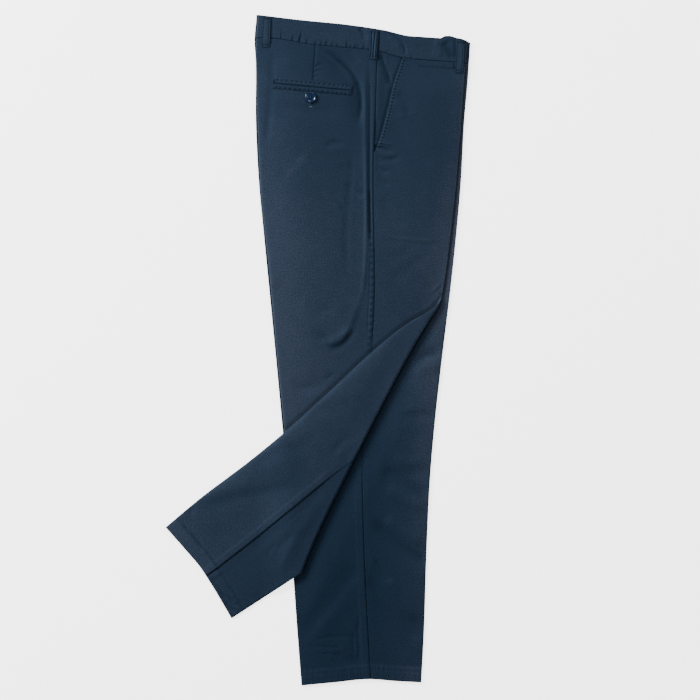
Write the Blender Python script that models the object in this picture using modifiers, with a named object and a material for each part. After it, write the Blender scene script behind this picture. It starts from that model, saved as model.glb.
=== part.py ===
"""Chino trousers laid flat on their side, with the upper leg folded across to the back.

Lengths are millimetres until a mesh is made, and the scene is in metres. X runs from the back crease to
the front crease, Y from the hems to the waist, and Z is up from the surface that the trousers lie on.

The left leg lies underneath. Each leg is a flattened tube: its outer wall, a tight turn at the crease
and its inner wall. The centre front and centre back are tucked between the legs as gussets. The right
leg is first laid out as a flat tube too, and then rolled over one slanting fold line.
"""

from math import pi

import bpy
import numpy as np

MM = 0.001

# Cloth and layers
WALL = 1.0  # one layer of twill
TUBE = 2.8  # a flattened leg: two walls and the air between them
HALF = TUBE / 2
SEAM = 0.3  # gap between pieces that are sewn together, and between the two legs
LEFT_MIDDLE = HALF
RIGHT_MIDDLE = TUBE + SEAM + HALF

# Waistband, belt loops and pockets
BAND_WALL = 1.2
BAND_PROUD = 0.4  # how far the upper waistband stands above the panels
LOOP_WIDTH = 14.0
LOOP_WALL = 1.2
LOOP_ARCH = 2.2
WELT_WALL = 1.0
WELT_HEIGHT = 7.6
WATCH_WELT_HEIGHT = 10.0
STRIP_EDGE_DROP = 0.35  # how much lower a strip's long edges are than its middle
LOOP_FOOT = (0.75, 0.2)  # share of a loop at which it steps off the waistband, and over what share
BEARER_UNDERLAP = 12.0  # pocket bearer hidden behind the mouth of the slant pocket
BEARER_DROP = WALL + SEAM
BEARER_TOP_X = 115.0  # middle of the bearer at the waist
PLACKET_WIDTH = 34.0
PLACKET_BOTTOM = 268.0

# Back pocket button
BUTTON_CENTRE = (-11.8, 413.4)
BUTTON_HOLE_RADIUS = 0.9
BUTTON_HOLE_RING = 2.0
BUTTON_STEPS = 24
BUTTON_PROFILE = (  # radius, height: down the outer side from the middle of the dished face
    (0.0, 1.7),
    (5.2, 1.8),
    (6.2, 2.3),
    (7.4, 2.8),
    (8.3, 2.7),
    (9.0, 1.7),
    (8.6, 0.6),
    (7.6, 0.0),
    (0.0, 0.0),
)

# The fold that carries the right leg across
FOLD_FRONT = (194.7, 66.9)  # where the fold meets the front crease
FOLD_BACK = (-26.4, -364.7)  # where it meets the back crease
ROLL = 2.2  # radius from the roll's axis to the middle of the flattened leg
FOLD_BOW = 8.0  # how far the middle of the fold bends towards the thigh
FOLD_BOW_REACH = 70.0
DRAPE_START = 8.0  # the folded leg starts to sink this far inside the back crease
DRAPE_END = 55.0  # and rests on the surface this far outside it

# Sections of the flat pattern. Columns: height above the middle, place of the edge across the leg
RIGHT_FRONT_CREASE = (
    (510.0, 243.7),
    (475.6, 241.9),
    (401.8, 236.8),
    (328.0, 231.2),
    (267.3, 226.0),
    (191.9, 217.8),
    (109.9, 207.0),
    (80.4, 202.2),
    (60.0, 198.6),
    (19.7, 200.0),
    (-60.7, 196.1),
    (-152.5, 186.6),
    (-272.4, 174.9),
    (-324.4, 172.0),
    (-433.1, 169.3),
    (-502.2, 164.2),
)
RIGHT_BACK_CREASE = (
    (551.0, -97.9),
    (500.2, -101.4),
    (410.0, -100.0),
    (311.6, -96.8),
    (246.0, -93.2),
    (180.4, -85.6),
    (114.8, -78.7),
    (16.4, -69.5),
    (-131.2, -54.8),
    (-246.0, -42.6),
    (-365.7, -27.0),
    (-418.7, -24.6),
    (-502.2, -20.6),
)
LEFT_FRONT_CREASE = (
    (505.1, 249.8),
    (442.8, 245.8),
    (377.2, 240.1),
    (278.8, 234.7),
    (180.4, 226.1),
    (82.0, 215.3),
    (-16.4, 203.2),
    (-114.8, 192.2),
    (-213.2, 183.7),
    (-311.6, 178.9),
    (-475.6, 173.3),
    (-546.1, 169.4),
)
LEFT_BACK_CREASE = (
    (544.5, -101.0),
    (508.4, -104.1),
    (475.6, -102.3),
    (377.2, -102.0),
    (278.8, -97.3),
    (180.4, -88.1),
    (82.0, -78.4),
    (-114.8, -59.5),
    (-213.2, -50.5),
    (-311.6, -44.3),
    (-475.6, -33.0),
    (-550.1, -27.1),
)
RIGHT_OUTSEAM = (
    (524.8, 98.1),
    (382.1, 94.1),
    (324.7, 91.5),
    (82.0, 93.0),
    (-4.9, 91.5),
    (-131.2, 92.7),
    (-501.8, 108.2),
)
LEFT_OUTSEAM = ((524.8, 98.1), (324.7, 91.5), (82.0, 88.0), (-164.0, 76.0), (-550.0, 80.0))
RIGHT_INSEAM = ((109.9, 77.1), (-49.2, 70.5), (-200.1, 65.8), (-262.4, 65.3), (-501.8, 59.0))
LEFT_INSEAM = ((109.9, 77.1), (-49.2, 72.2), (-164.0, 72.0), (-326.4, 75.8), (-547.8, 86.9))
POCKET_MOUTH = (
    (492.0, 142.7),
    (475.3, 137.4),
    (439.8, 125.6),
    (384.7, 112.5),
    (334.9, 98.1),
    (325.7, 94.1),
)
CENTRE_FRONT = (
    (524.8, 200.1),
    (469.0, 198.4),
    (328.0, 183.7),
    (229.6, 160.7),
    (164.0, 127.9),
    (124.6, 95.1),
    (109.9, 77.1),
)
CENTRE_BACK = (
    (557.6, -57.4),
    (511.7, -57.4),
    (328.0, -36.1),
    (229.6, 0.0),
    (164.0, 29.5),
    (124.6, 59.0),
    (109.9, 77.1),
)
CROTCH_HEIGHT = 109.9
MOUTH_FOOT = 325.7

# Lines that cross the legs. Columns: place across the leg, height
WAIST_SEAM = (
    (-101.4, 511.5),
    (-76.4, 510.7),
    (-4.3, 499.7),
    (48.2, 495.4),
    (99.4, 489.7),
    (138.7, 478.7),
    (163.7, 476.1),
    (226.6, 471.3),
    (249.3, 469.4),
)
WAIST_TOP = (
    (-98.7, 549.4),
    (-28.7, 541.0),
    (48.2, 533.2),
    (89.4, 527.4),
    (109.1, 524.0),
    (148.4, 514.9),
    (168.1, 513.5),
    (197.0, 511.5),
    (200.9, 511.3),
    (207.5, 514.4),
    (214.0, 515.0),
    (227.1, 511.8),
    (240.3, 508.3),
    (249.3, 503.5),
)
RIGHT_HEM = ((-20.6, -502.2), (48.2, -496.1), (78.2, -494.8), (110.9, -497.4), (164.2, -502.7))
LEFT_HEM = ((-27.1, -550.1), (27.9, -544.8), (85.8, -539.6), (126.3, -542.7), (168.9, -545.0))

# Largest soft folds. Columns: start x, start y, end x, end y, half width, height
THIGH_FOLDS = (
    (60.0, 470.0, 60.0, 170.0, 70.0, -0.5),
    (79.0, 440.0, 79.0, 150.0, 16.0, 0.8),
    (8.0, 495.0, 37.0, 469.0, 12.0, -0.4),
    (37.0, 469.0, 68.0, 382.0, 12.0, -0.4),
    (60.7, 65.6, 44.3, 24.6, 14.0, -0.4),
    (44.3, 24.6, 13.1, 9.8, 14.0, -0.4),
)
FOLDED_LEG_FOLDS = (
    (110.0, -80.0, 115.0, -430.0, 26.0, 0.9),
    (24.0, -380.0, 20.0, -470.0, 18.0, 0.6),
)
LOWER_LEG_FOLDS = (
    (200.0, -11.0, 142.0, -40.0, 14.0, -0.4),
    (110.0, -205.0, 184.0, -241.0, 14.0, -0.4),
    (110.0, -290.0, 174.0, -340.0, 16.0, 0.8),
    (58.0, -354.0, 0.0, -482.0, 22.0, 0.9),
    (96.0, -359.0, 150.0, -482.0, 22.0, 0.9),
)

# Strips sewn on the upper side. Columns: name, start, end, width, wall, rows, arch, crown
STRIPS = (
    ("back_welt_upper", (-70.8, 440.2), (54.9, 428.6), WELT_HEIGHT, WELT_WALL, 9, 0.0, 0.0),
    ("back_welt_lower", (-73.1, 432.0), (53.1, 420.8), WELT_HEIGHT, WELT_WALL, 9, 0.0, 0.0),
    ("watch_pocket_welt", (163.2, 470.0), (221.4, 465.8), WATCH_WELT_HEIGHT, WELT_WALL, 6, 0.0, 0.0),
    ("belt_loop_back", (-83.6, 545.5), (-86.1, 496.3), LOOP_WIDTH, LOOP_WALL, 11, LOOP_ARCH, 0.0),
    ("belt_loop_side", (92.8, 523.8), (89.5, 476.6), LOOP_WIDTH, LOOP_WALL, 11, LOOP_ARCH, 0.8),
    ("belt_loop_front", (234.0, 506.6), (231.0, 454.3), LOOP_WIDTH, LOOP_WALL, 11, LOOP_ARCH, 0.0),
)

# How finely a wall is divided
THIGH_ROWS = 15
ROLL_ROWS = 8
FOLDED_ROWS = 11
LEFT_ROWS = 27
OUTER_COLUMNS = 6
INNER_COLUMNS = 5
TURN_COLUMNS = 4
BEARER_ROWS = 9
BEARER_COLUMNS = 5
SAMPLES = 800  # points tried along a row when a seam's place on it is looked for

NAVY = (0.020, 0.034, 0.062)
NAVY_SHADE = (0.014, 0.026, 0.050)
BUTTON_NAVY = (0.008, 0.012, 0.022)


def curve(table, at):
    """A smooth line through the table's rows: the second column's value at the first column's place."""
    rows = np.array(sorted(table))
    places, values = rows[:, 0], rows[:, 1]
    slopes = np.gradient(values, places)
    at = np.asarray(at, float)
    low = np.clip(np.searchsorted(places, at) - 1, 0, len(places) - 2)
    span = places[low + 1] - places[low]
    s = np.clip((at - places[low]) / span, 0.0, 1.0)
    ends = values[low] * (1 + 2 * s) * (1 - s) ** 2 + values[low + 1] * s * s * (3 - 2 * s)
    leans = slopes[low] * s * (1 - s) ** 2 - slopes[low + 1] * s * s * (1 - s)
    return ends + leans * span


def eased(value):
    """0 below 0, 1 above 1 and a smooth step between."""
    value = np.clip(value, 0.0, 1.0)
    return value * value * (3 - 2 * value)


def off_chord(table, x):
    """How far the table's line lies above the straight line between its ends."""
    return curve(table, x) - chord(table, x)


def chord(table, x):
    """The straight line between the table's ends, at x."""
    (x_start, y_start), (x_end, y_end) = table[0], table[-1]
    return y_start + (y_end - y_start) * (x - x_start) / (x_end - x_start)


def soft_folds(table, x, y):
    """The height that the table's ridges and troughs add at each point."""
    height = np.zeros(np.broadcast(x, y).shape)
    for x_start, y_start, x_end, y_end, half_width, rise in table:
        run_x, run_y = x_end - x_start, y_end - y_start
        length = np.hypot(run_x, run_y)
        along = ((x - x_start) * run_x + (y - y_start) * run_y) / length
        past_end = along - np.clip(along, 0.0, length)
        aside = ((x - x_start) * run_y - (y - y_start) * run_x) / length
        distance = np.hypot(past_end, aside)
        height = height + rise * np.exp(-((distance / half_width) ** 2))
    return height


def beyond_fold(x, y):
    """Distance past the axis of the fold, on the flat pattern."""
    run = np.subtract(FOLD_BACK, FOLD_FRONT)
    outwards = np.array((-run[1], run[0])) / np.hypot(*run)
    return (x - FOLD_FRONT[0]) * outwards[0] + (y - FOLD_FRONT[1]) * outwards[1] + ROLL + HALF


def place_left(x, y, height):
    """The left leg lies face down: its outer wall is on the surface."""
    return np.stack((x, y, LEFT_MIDDLE - height), axis=-1)


def place_right(x, y, height):
    """The right leg, face up, rolled over the fold line and laid across the thigh and the surface beyond.

    A point past the fold's axis goes round the roll, whose radius is ROLL less its height, and then back
    the way it came, upside down.
    """
    run = np.subtract(FOLD_BACK, FOLD_FRONT)
    length = np.hypot(*run)
    outwards = np.array((-run[1], run[0])) / length
    beyond = beyond_fold(x, y)
    turn = np.clip(beyond / ROLL, 0.0, pi)
    distance = (ROLL - height) * np.sin(turn) - np.maximum(beyond - pi * ROLL, 0.0)
    distance = np.where(beyond > 0, distance, beyond)
    z = RIGHT_MIDDLE + ROLL - (ROLL - height) * np.cos(turn)
    share = ((x - FOLD_FRONT[0]) * run[0] + (y - FOLD_FRONT[1]) * run[1]) / length**2
    near_fold = np.exp(-((distance / FOLD_BOW_REACH) ** 2))
    bow = FOLD_BOW * np.clip(1 - (2 * share - 1) ** 4, 0.0, 1.0) * near_fold
    x = x + outwards[0] * (distance - beyond - bow)
    y = y + outwards[1] * (distance - beyond - bow)
    outside = curve(LEFT_BACK_CREASE, y) - x
    sunk = eased((outside + DRAPE_START) / (DRAPE_START + DRAPE_END))
    z = z - sunk * (turn / pi) * (RIGHT_MIDDLE + 2 * ROLL - HALF)
    return np.stack((x, y, z), axis=-1)


def thigh_relief(x, y):
    """Soft folds of the right leg's outer wall, above the fold."""
    return soft_folds(THIGH_FOLDS, x, y) * eased(-beyond_fold(x, y) / 30)


def folded_relief(x, y):
    """Soft folds of the right leg's inner wall, once it is folded across."""
    return soft_folds(FOLDED_LEG_FOLDS, x, y) * eased((beyond_fold(x, y) - 20) / 40)


def lower_relief(x, y):
    """Soft folds of the left leg's inner wall, where the right leg leaves it bare."""
    return soft_folds(LOWER_LEG_FOLDS, x, y) * eased((beyond_fold(x, y) - 14) / 30)


def no_relief(x, y):
    """A wall that lies flat."""
    return np.zeros(np.broadcast(x, y).shape)


class Row:
    """One line across a leg, from its front crease to its back crease."""

    def __init__(self, leg, y_front, y_back, waist=0.0, hem=0.0):
        self.y_front = y_front
        self.y_back = y_back
        self.x_front = float(curve(leg.front_crease, y_front)) - HALF
        self.x_back = float(curve(leg.back_crease, y_back)) + HALF
        self.waist = waist
        self.hem = hem
        self.hem_line = leg.hem

    def height(self, x):
        share = (self.x_front - x) / (self.x_front - self.x_back)
        line = self.y_front + share * (self.y_back - self.y_front)
        bends = self.waist * off_chord(WAIST_SEAM, x) + self.hem * off_chord(self.hem_line, x)
        return line + bends

    def crossing(self, bound, from_front):
        """Where the row meets a seam, whose place is bound(height)."""
        x = np.linspace(self.x_front, self.x_back, SAMPLES)
        gap = x - bound(self.height(x))
        turns = np.flatnonzero(gap[:-1] * gap[1:] <= 0)
        i = turns[0 if from_front else -1]
        return x[i] + (x[i + 1] - x[i]) * gap[i] / (gap[i] - gap[i + 1])


class Leg:
    """The flat pattern of one leg, and where it lies."""

    def __init__(self, front_crease, back_crease, outseam, inseam, hem, place, outer_relief, inner_relief):
        self.front_crease = front_crease
        self.back_crease = back_crease
        self.outseam = outseam
        self.inseam = inseam
        self.hem = hem
        self.place = place
        self.outer_relief = outer_relief
        self.inner_relief = inner_relief
        self.mouth = None
        self.rows = []

    def front_outer(self, y):
        """The front panel's edge at the side seam, and at the pocket mouth above it."""
        edge = curve(self.outseam, y)
        if self.mouth:
            edge = np.where(y > MOUTH_FOOT, np.maximum(edge, curve(self.mouth, y)), edge)
        return edge + SEAM / 2

    def back_outer(self, y):
        """The back panel's edge at the side seam."""
        return curve(self.outseam, y) - SEAM / 2

    def front_inner(self, y):
        """The front panel's edge at the inseam, and at the centre front above the crotch."""
        above = np.maximum(curve(self.inseam, y), curve(CENTRE_FRONT, y))
        return np.where(y > CROTCH_HEIGHT, above, curve(self.inseam, y)) + SEAM / 2

    def back_inner(self, y):
        """The back panel's edge at the inseam, and at the centre back above the crotch."""
        above = np.minimum(curve(self.inseam, y), curve(CENTRE_BACK, y))
        return np.where(y > CROTCH_HEIGHT, above, curve(self.inseam, y)) - SEAM / 2

    def waist_row(self):
        """The row just below the waistband."""
        front = chord(WAIST_SEAM, curve(self.front_crease, WAIST_SEAM[-1][1]) - HALF) - SEAM / 2
        back = chord(WAIST_SEAM, curve(self.back_crease, WAIST_SEAM[0][1]) + HALF) - SEAM / 2
        return Row(self, float(front), float(back), waist=1.0)

    def hem_row(self):
        """The row along the hem."""
        front = chord(self.hem, curve(self.front_crease, self.hem[-1][1]) - HALF)
        back = chord(self.hem, curve(self.back_crease, self.hem[0][1]) + HALF)
        return Row(self, float(front), float(back), hem=1.0)

    def rows_between(self, first, last, count, front_power=1.0, back_power=1.0):
        """Rows that turn evenly from the first into the last, both left out."""
        for t in np.linspace(0.0, 1.0, count + 2)[1:-1]:
            front_share = 1 - (1 - t) ** front_power
            back_share = t**back_power
            y_front = first.y_front + (last.y_front - first.y_front) * front_share
            y_back = first.y_back + (last.y_back - first.y_back) * back_share
            yield Row(self, y_front, y_back, first.waist * (1 - t) ** 3, last.hem * t**6)

    def row_beyond(self, distance):
        """The row that runs along the fold, this far past its axis on the flat pattern."""
        y = np.linspace(-500.0, 400.0, SAMPLES)
        y_front = np.interp(-distance, -beyond_fold(curve(self.front_crease, y) - HALF, y), y)
        y_back = np.interp(-distance, -beyond_fold(curve(self.back_crease, y) + HALF, y), y)
        return Row(self, float(y_front), float(y_back))


def left_leg():
    """The lower leg, with level rows from the waist to the hem."""
    leg = Leg(
        LEFT_FRONT_CREASE,
        LEFT_BACK_CREASE,
        LEFT_OUTSEAM,
        LEFT_INSEAM,
        LEFT_HEM,
        place_left,
        no_relief,
        lower_relief,
    )
    waist, hem = leg.waist_row(), leg.hem_row()
    leg.rows = [waist, *leg.rows_between(waist, hem, LEFT_ROWS), hem]
    return leg


def right_leg():
    """The upper leg, whose rows fan out from the waist until they run along the fold."""
    leg = Leg(
        RIGHT_FRONT_CREASE,
        RIGHT_BACK_CREASE,
        RIGHT_OUTSEAM,
        RIGHT_INSEAM,
        RIGHT_HEM,
        place_right,
        thigh_relief,
        folded_relief,
    )
    leg.mouth = POCKET_MOUTH
    waist, hem = leg.waist_row(), leg.hem_row()
    roll = [leg.row_beyond(distance) for distance in np.linspace(0.0, pi * ROLL, ROLL_ROWS + 1)]
    thigh = leg.rows_between(waist, roll[0], THIGH_ROWS, front_power=1.3, back_power=1.25)
    folded = leg.rows_between(roll[-1], hem, FOLDED_ROWS)
    leg.rows = [waist, *thigh, *roll, *folded, hem]
    return leg


def panel_columns(leg, row, is_front):
    """Places across one row of a panel: on its outer wall up to the crease, and back on its inner wall."""
    outer_bound = leg.front_outer if is_front else leg.back_outer
    inner_bound = leg.front_inner if is_front else leg.back_inner
    crease = row.x_front if is_front else row.x_back
    outer = np.linspace(row.crossing(outer_bound, is_front), crease, OUTER_COLUMNS)
    inner = np.linspace(crease, row.crossing(inner_bound, is_front), INNER_COLUMNS)
    return outer, inner


def panel_faces(leg, is_front):
    """Both faces of a front or back panel: outer wall, turn at the crease, inner wall."""
    side = 1 if is_front else -1
    turn = np.linspace(0.0, pi, TURN_COLUMNS + 2)[1:-1]
    faces = []
    for depth in (0.0, WALL):
        radius = HALF - depth
        lines = []
        for row in leg.rows:
            outer, inner = panel_columns(leg, row, is_front)
            bend = outer[-1] + side * radius * np.sin(turn)
            x = np.concatenate((outer, bend, inner))
            y = row.height(np.concatenate((outer, np.full(TURN_COLUMNS, outer[-1]), inner)))
            upper = radius + leg.outer_relief(outer, row.height(outer))
            lower = -radius - leg.inner_relief(inner, row.height(inner))
            height = np.concatenate((upper, radius * np.cos(turn), lower))
            lines.append(leg.place(x, y, height))
        faces.append(np.array(lines))
    return faces


def waistband_faces(leg, proud):
    """Both faces of half a waistband: centre front, front crease, outer run, back crease, centre back.

    Its columns stand over the columns of the panels that it is sewn to, so the seam stays even.
    """
    seam = leg.rows[0]
    front_outer, front_inner = panel_columns(leg, seam, True)
    back_outer, back_inner = panel_columns(leg, seam, False)
    between = bearer_columns(leg, 0.0)[1:BEARER_COLUMNS] if leg.mouth else []
    front_end = front_inner[::-1]
    outer_run = np.concatenate((front_outer[::-1], between[::-1], back_outer))
    turn = np.linspace(0.0, pi, TURN_COLUMNS + 2)[1:-1]
    faces = []
    for depth in (0.0, BAND_WALL):
        lines = []
        for share in (0.0, 0.5, 1.0):
            def height(x):
                return curve(WAIST_SEAM, x) * (1 - share) + curve(WAIST_TOP, x) * share + SEAM / 2

            x_front = float(curve(leg.front_crease, height(seam.x_front))) - HALF
            x_back = float(curve(leg.back_crease, height(seam.x_back))) + HALF
            stretch = (x_front - x_back) / (seam.x_front - seam.x_back)

            def across(x):
                return x_back + (x - seam.x_back) * stretch

            bend = HALF - depth + proud * (1 - np.cos(turn)) / 2
            x = np.concatenate(
                (
                    across(front_end),
                    x_front + bend * np.sin(turn),
                    across(outer_run),
                    x_back - bend[::-1] * np.sin(turn),
                    across(back_inner),
                )
            )
            y = height(np.clip(x, x_back, x_front))
            outer_y = height(across(outer_run))
            z = np.concatenate(
                (
                    np.full(len(front_end), depth - HALF),
                    -bend * np.cos(turn),
                    HALF - depth + proud + leg.outer_relief(across(outer_run), outer_y),
                    bend[::-1] * np.cos(turn),
                    np.full(len(back_inner), depth - HALF),
                )
            )
            lines.append(leg.place(x, y, z))
        faces.append(np.array(lines))
    return faces


def bearer_columns(leg, share):
    """Places across the pocket bearer, this far down it: side seam to mouth, and on under the front panel."""
    top_y = leg.rows[0].height(BEARER_TOP_X)
    y = top_y + (MOUTH_FOOT - top_y) * share
    x_seam = float(curve(leg.outseam, y)) + SEAM / 2
    x_mouth = float(curve(leg.mouth, y))
    shown = np.linspace(x_seam, x_mouth, BEARER_COLUMNS)
    return np.concatenate((shown, [x_mouth + BEARER_UNDERLAP / 2, x_mouth + BEARER_UNDERLAP]))


def bearer_faces(leg):
    """The pocket bearer: level with the back panel at the side seam, under the front panel at the mouth."""
    waist = leg.rows[0]
    faces = []
    for depth in (0.0, WALL):
        lines = []
        for share in np.linspace(0.0, 1.0, BEARER_ROWS):
            x = bearer_columns(leg, share)
            x_seam, x_mouth = x[0], x[BEARER_COLUMNS - 1]
            top_y = waist.height(BEARER_TOP_X)
            y = top_y + (MOUTH_FOOT - top_y) * share + (1 - share) ** 2 * (waist.height(x) - top_y)
            sunk = np.maximum(eased((x - x_seam) / max(x_mouth - x_seam, 1.0)), eased((share - 0.55) / 0.3))
            height = HALF - depth - BEARER_DROP * sunk + leg.outer_relief(x, y)
            lines.append(leg.place(x, y, height))
        faces.append(np.array(lines))
    return faces


def strip_faces(leg, start, end, width, wall, rows, arch, crown):
    """Both faces of a strip sewn on the right leg's outer wall, from start to end.

    A belt loop is sewn down at both ends and arches clear of the waistband between them. A crown makes
    its middle line higher than its edges.
    """
    run = np.subtract(end, start)
    aside = np.array((-run[1], run[0])) / np.hypot(*run)
    across = np.linspace(-0.5, 0.5, 5)
    edge = np.where(np.abs(across) == 0.5, STRIP_EDGE_DROP, 0.0)
    faces = []
    for face_height, face_drop in ((wall, edge), (0.0, 0.0)):
        lines = []
        for share in np.linspace(0.0, 1.0, rows):
            x = start[0] + run[0] * share + aside[0] * width * across
            y = start[1] + run[1] * share + aside[1] * width * across
            lift = SEAM + arch * np.sin(pi * share) ** 0.8
            if arch:
                lift += BAND_PROUD * (1 - eased((share - LOOP_FOOT[0]) / LOOP_FOOT[1]))
            lift = lift + crown * (1 - (2 * across) ** 2) * np.sin(pi * share)
            height = HALF + lift + face_height - face_drop + leg.outer_relief(x, y)
            lines.append(leg.place(x, y, height))
        faces.append(np.array(lines))
    return faces


def placket_faces():
    """The fly placket: a plain strip along the centre front, inside the gusset."""
    middle = TUBE + SEAM / 2
    waist = float(curve(WAIST_SEAM, 180.0)) - SEAM / 2
    faces = []
    for z in (middle + WALL / 2, middle - WALL / 2):
        lines = []
        for y in np.linspace(waist, PLACKET_BOTTOM, 8):
            edge = float(curve(CENTRE_FRONT, y)) - SEAM
            width = PLACKET_WIDTH * (1 - 0.5 * eased((PLACKET_BOTTOM + 45 - y) / 45))
            x = np.linspace(edge - width, edge, 3)
            lines.append(np.stack((x, np.full(3, y), np.full(3, z)), axis=-1))
        faces.append(np.array(lines))
    return faces


def cloth_material(name, colour, roughness):
    """A Principled material of one colour, rough and not metallic."""
    material = bpy.data.materials.new(name)
    material.use_nodes = True
    shader = material.node_tree.nodes["Principled BSDF"]
    shader.inputs["Base Color"].default_value = (*colour, 1.0)
    shader.inputs["Roughness"].default_value = roughness
    shader.inputs["Metallic"].default_value = 0.0
    material.diffuse_color = (*colour, 1.0)
    return material


def wall_object(name, faces, collection, root, colour):
    """A closed wall lofted between two faces with the same rows and columns, and its rim."""
    outer, inner = faces
    rows, columns = outer.shape[:2]
    points = np.concatenate((outer.reshape(-1, 3), inner.reshape(-1, 3))) * MM
    index = np.arange(rows * columns).reshape(rows, columns)
    corners = (index[:-1, :-1], index[:-1, 1:], index[1:, 1:], index[1:, :-1])
    grid = np.stack(corners, axis=-1).reshape(-1, 4)
    rim = np.concatenate((index[0], index[1:, -1], index[-1, -2::-1], index[-2:0:-1, 0]))
    next_rim = np.roll(rim, -1)
    under = rows * columns
    sides = np.stack((rim, rim + under, next_rim + under, next_rim), axis=-1)
    quads = np.concatenate((grid, grid[:, ::-1] + under, sides))
    mesh = bpy.data.meshes.new(name)
    mesh.from_pydata(points.tolist(), [], quads.tolist())
    if signed_volume(points, quads) < 0:
        mesh.flip_normals()
    mesh.materials.append(cloth_material(name, colour, 0.85))
    return add_object(name, mesh, collection, root)


def signed_volume(points, quads):
    """Six times the volume inside the quads, negative if they face inwards."""
    a, b, c, d = (points[quads[:, i]] for i in range(4))
    first = np.einsum("ij,ij->i", a, np.cross(b, c))
    second = np.einsum("ij,ij->i", a, np.cross(c, d))
    return float((first + second).sum())


def add_object(name, mesh, collection, root):
    """An object in the collection, smooth shaded and carried by the root."""
    mesh.shade_smooth()
    mesh.set_sharp_from_angle(angle=0.7)
    item = bpy.data.objects.new(name, mesh)
    collection.objects.link(item)
    item.parent = root
    return item


def button(leg, collection, cutters, root):
    """A turned button with four holes, lying on the back panel."""
    mesh = bpy.data.meshes.new("back_pocket_button")
    points = [(radius * MM, 0.0, height * MM) for radius, height in BUTTON_PROFILE]
    mesh.from_pydata(points, [(i, i + 1) for i in range(len(points) - 1)], [])
    mesh.materials.append(cloth_material("back_pocket_button", BUTTON_NAVY, 0.25))
    item = bpy.data.objects.new("back_pocket_button", mesh)
    collection.objects.link(item)
    item.parent = root
    x, y = BUTTON_CENTRE
    seat = leg.place(np.array(x), np.array(y), HALF + SEAM + leg.outer_relief(x, y))
    item.location = seat * MM
    turned = item.modifiers.new("Turned", "SCREW")
    turned.steps = turned.render_steps = BUTTON_STEPS
    turned.merge_threshold = 0.00001
    turned.use_merge_vertices = True
    turned.use_smooth_shade = True
    for number in range(4):
        angle = pi / 4 + number * pi / 2
        bpy.ops.mesh.primitive_cylinder_add(vertices=10, radius=BUTTON_HOLE_RADIUS * MM, depth=8 * MM)
        cutter = bpy.context.object
        cutter.name = f"button_hole_cutter_{number + 1}"
        for owner in list(cutter.users_collection):
            owner.objects.unlink(cutter)
        cutters.objects.link(cutter)
        cutter.parent = item
        cutter.location = (
            BUTTON_HOLE_RING * np.cos(angle) * MM,
            BUTTON_HOLE_RING * np.sin(angle) * MM,
            MM,
        )
        cutter.hide_render = True
        cutter.display_type = "WIRE"
        hole = item.modifiers.new(f"Hole {number + 1}", "BOOLEAN")
        hole.object = cutter
        hole.operation = "DIFFERENCE"
    return item


def clear_scene():
    """Removes what the scene holds."""
    for item in list(bpy.data.objects):
        bpy.data.objects.remove(item)


def build():
    """Makes every piece, in one collection, with the middle of its box over the origin."""
    clear_scene()
    scene = bpy.context.scene
    collection = bpy.data.collections.new("chino_trousers")
    cutters = bpy.data.collections.new("cutters")
    scene.collection.children.link(collection)
    scene.collection.children.link(cutters)
    root = bpy.data.objects.new("chino_trousers_root", None)
    collection.objects.link(root)

    right, left = right_leg(), left_leg()
    pieces = [
        ("right_front_panel", panel_faces(right, True), NAVY),
        ("right_back_panel", panel_faces(right, False), NAVY),
        ("left_front_panel", panel_faces(left, True), NAVY),
        ("left_back_panel", panel_faces(left, False), NAVY),
        ("right_waistband", waistband_faces(right, BAND_PROUD), NAVY),
        ("left_waistband", waistband_faces(left, 0.0), NAVY),
        ("right_pocket_facing", bearer_faces(right), NAVY_SHADE),
        ("fly_placket", placket_faces(), NAVY_SHADE),
    ]
    for name, *sizes in STRIPS:
        pieces.append((name, strip_faces(right, *sizes), NAVY))
    for name, faces, colour in pieces:
        wall_object(name, faces, collection, root, colour)
    button(right, collection, cutters, root)

    points = np.concatenate([faces[0].reshape(-1, 3) for _, faces, _ in pieces])
    middle = (points.min(axis=0) + points.max(axis=0)) / 2
    root.location = (-middle[0] * MM, -middle[1] * MM, 0.0)


build()
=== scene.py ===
# %% [markdown]
# # Navy chino trousers, laid flat and folded
#
# The trousers lie on their side, legs on each other, and the upper leg is folded across to the back.
# A tailor makes them from four leg panels, a waistband in two halves, belt loops, welts and a pocket
# bearer, so this lesson makes the same pieces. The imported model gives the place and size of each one,
# and every piece here is a finer skin on the form of its solid.

# %% The frame
from math import pi

import bpy
import numpy as np
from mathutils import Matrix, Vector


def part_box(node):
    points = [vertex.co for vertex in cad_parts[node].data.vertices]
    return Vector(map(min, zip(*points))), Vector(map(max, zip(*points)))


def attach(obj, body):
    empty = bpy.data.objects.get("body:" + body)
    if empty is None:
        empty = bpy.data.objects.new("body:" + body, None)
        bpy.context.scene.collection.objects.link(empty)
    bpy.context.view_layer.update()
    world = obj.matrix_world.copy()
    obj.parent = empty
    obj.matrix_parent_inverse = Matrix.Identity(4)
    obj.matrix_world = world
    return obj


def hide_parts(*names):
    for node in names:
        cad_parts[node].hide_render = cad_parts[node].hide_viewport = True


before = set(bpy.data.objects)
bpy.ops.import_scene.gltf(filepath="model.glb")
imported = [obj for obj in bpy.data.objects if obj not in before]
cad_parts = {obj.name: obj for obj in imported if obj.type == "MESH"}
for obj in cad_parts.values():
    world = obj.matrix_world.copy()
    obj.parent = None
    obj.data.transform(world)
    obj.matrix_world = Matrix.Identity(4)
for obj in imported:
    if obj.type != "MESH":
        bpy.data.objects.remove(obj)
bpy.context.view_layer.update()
MM = 0.001

# %% [markdown]
# ## Where the pattern lies
#
# All sizes below are millimetres on the pattern: X runs from the back crease to the front crease, Y from
# the hems to the waist. The button was turned about one point of the pattern, so the middle of its box
# tells how far the pattern was moved to centre the whole part.

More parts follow.
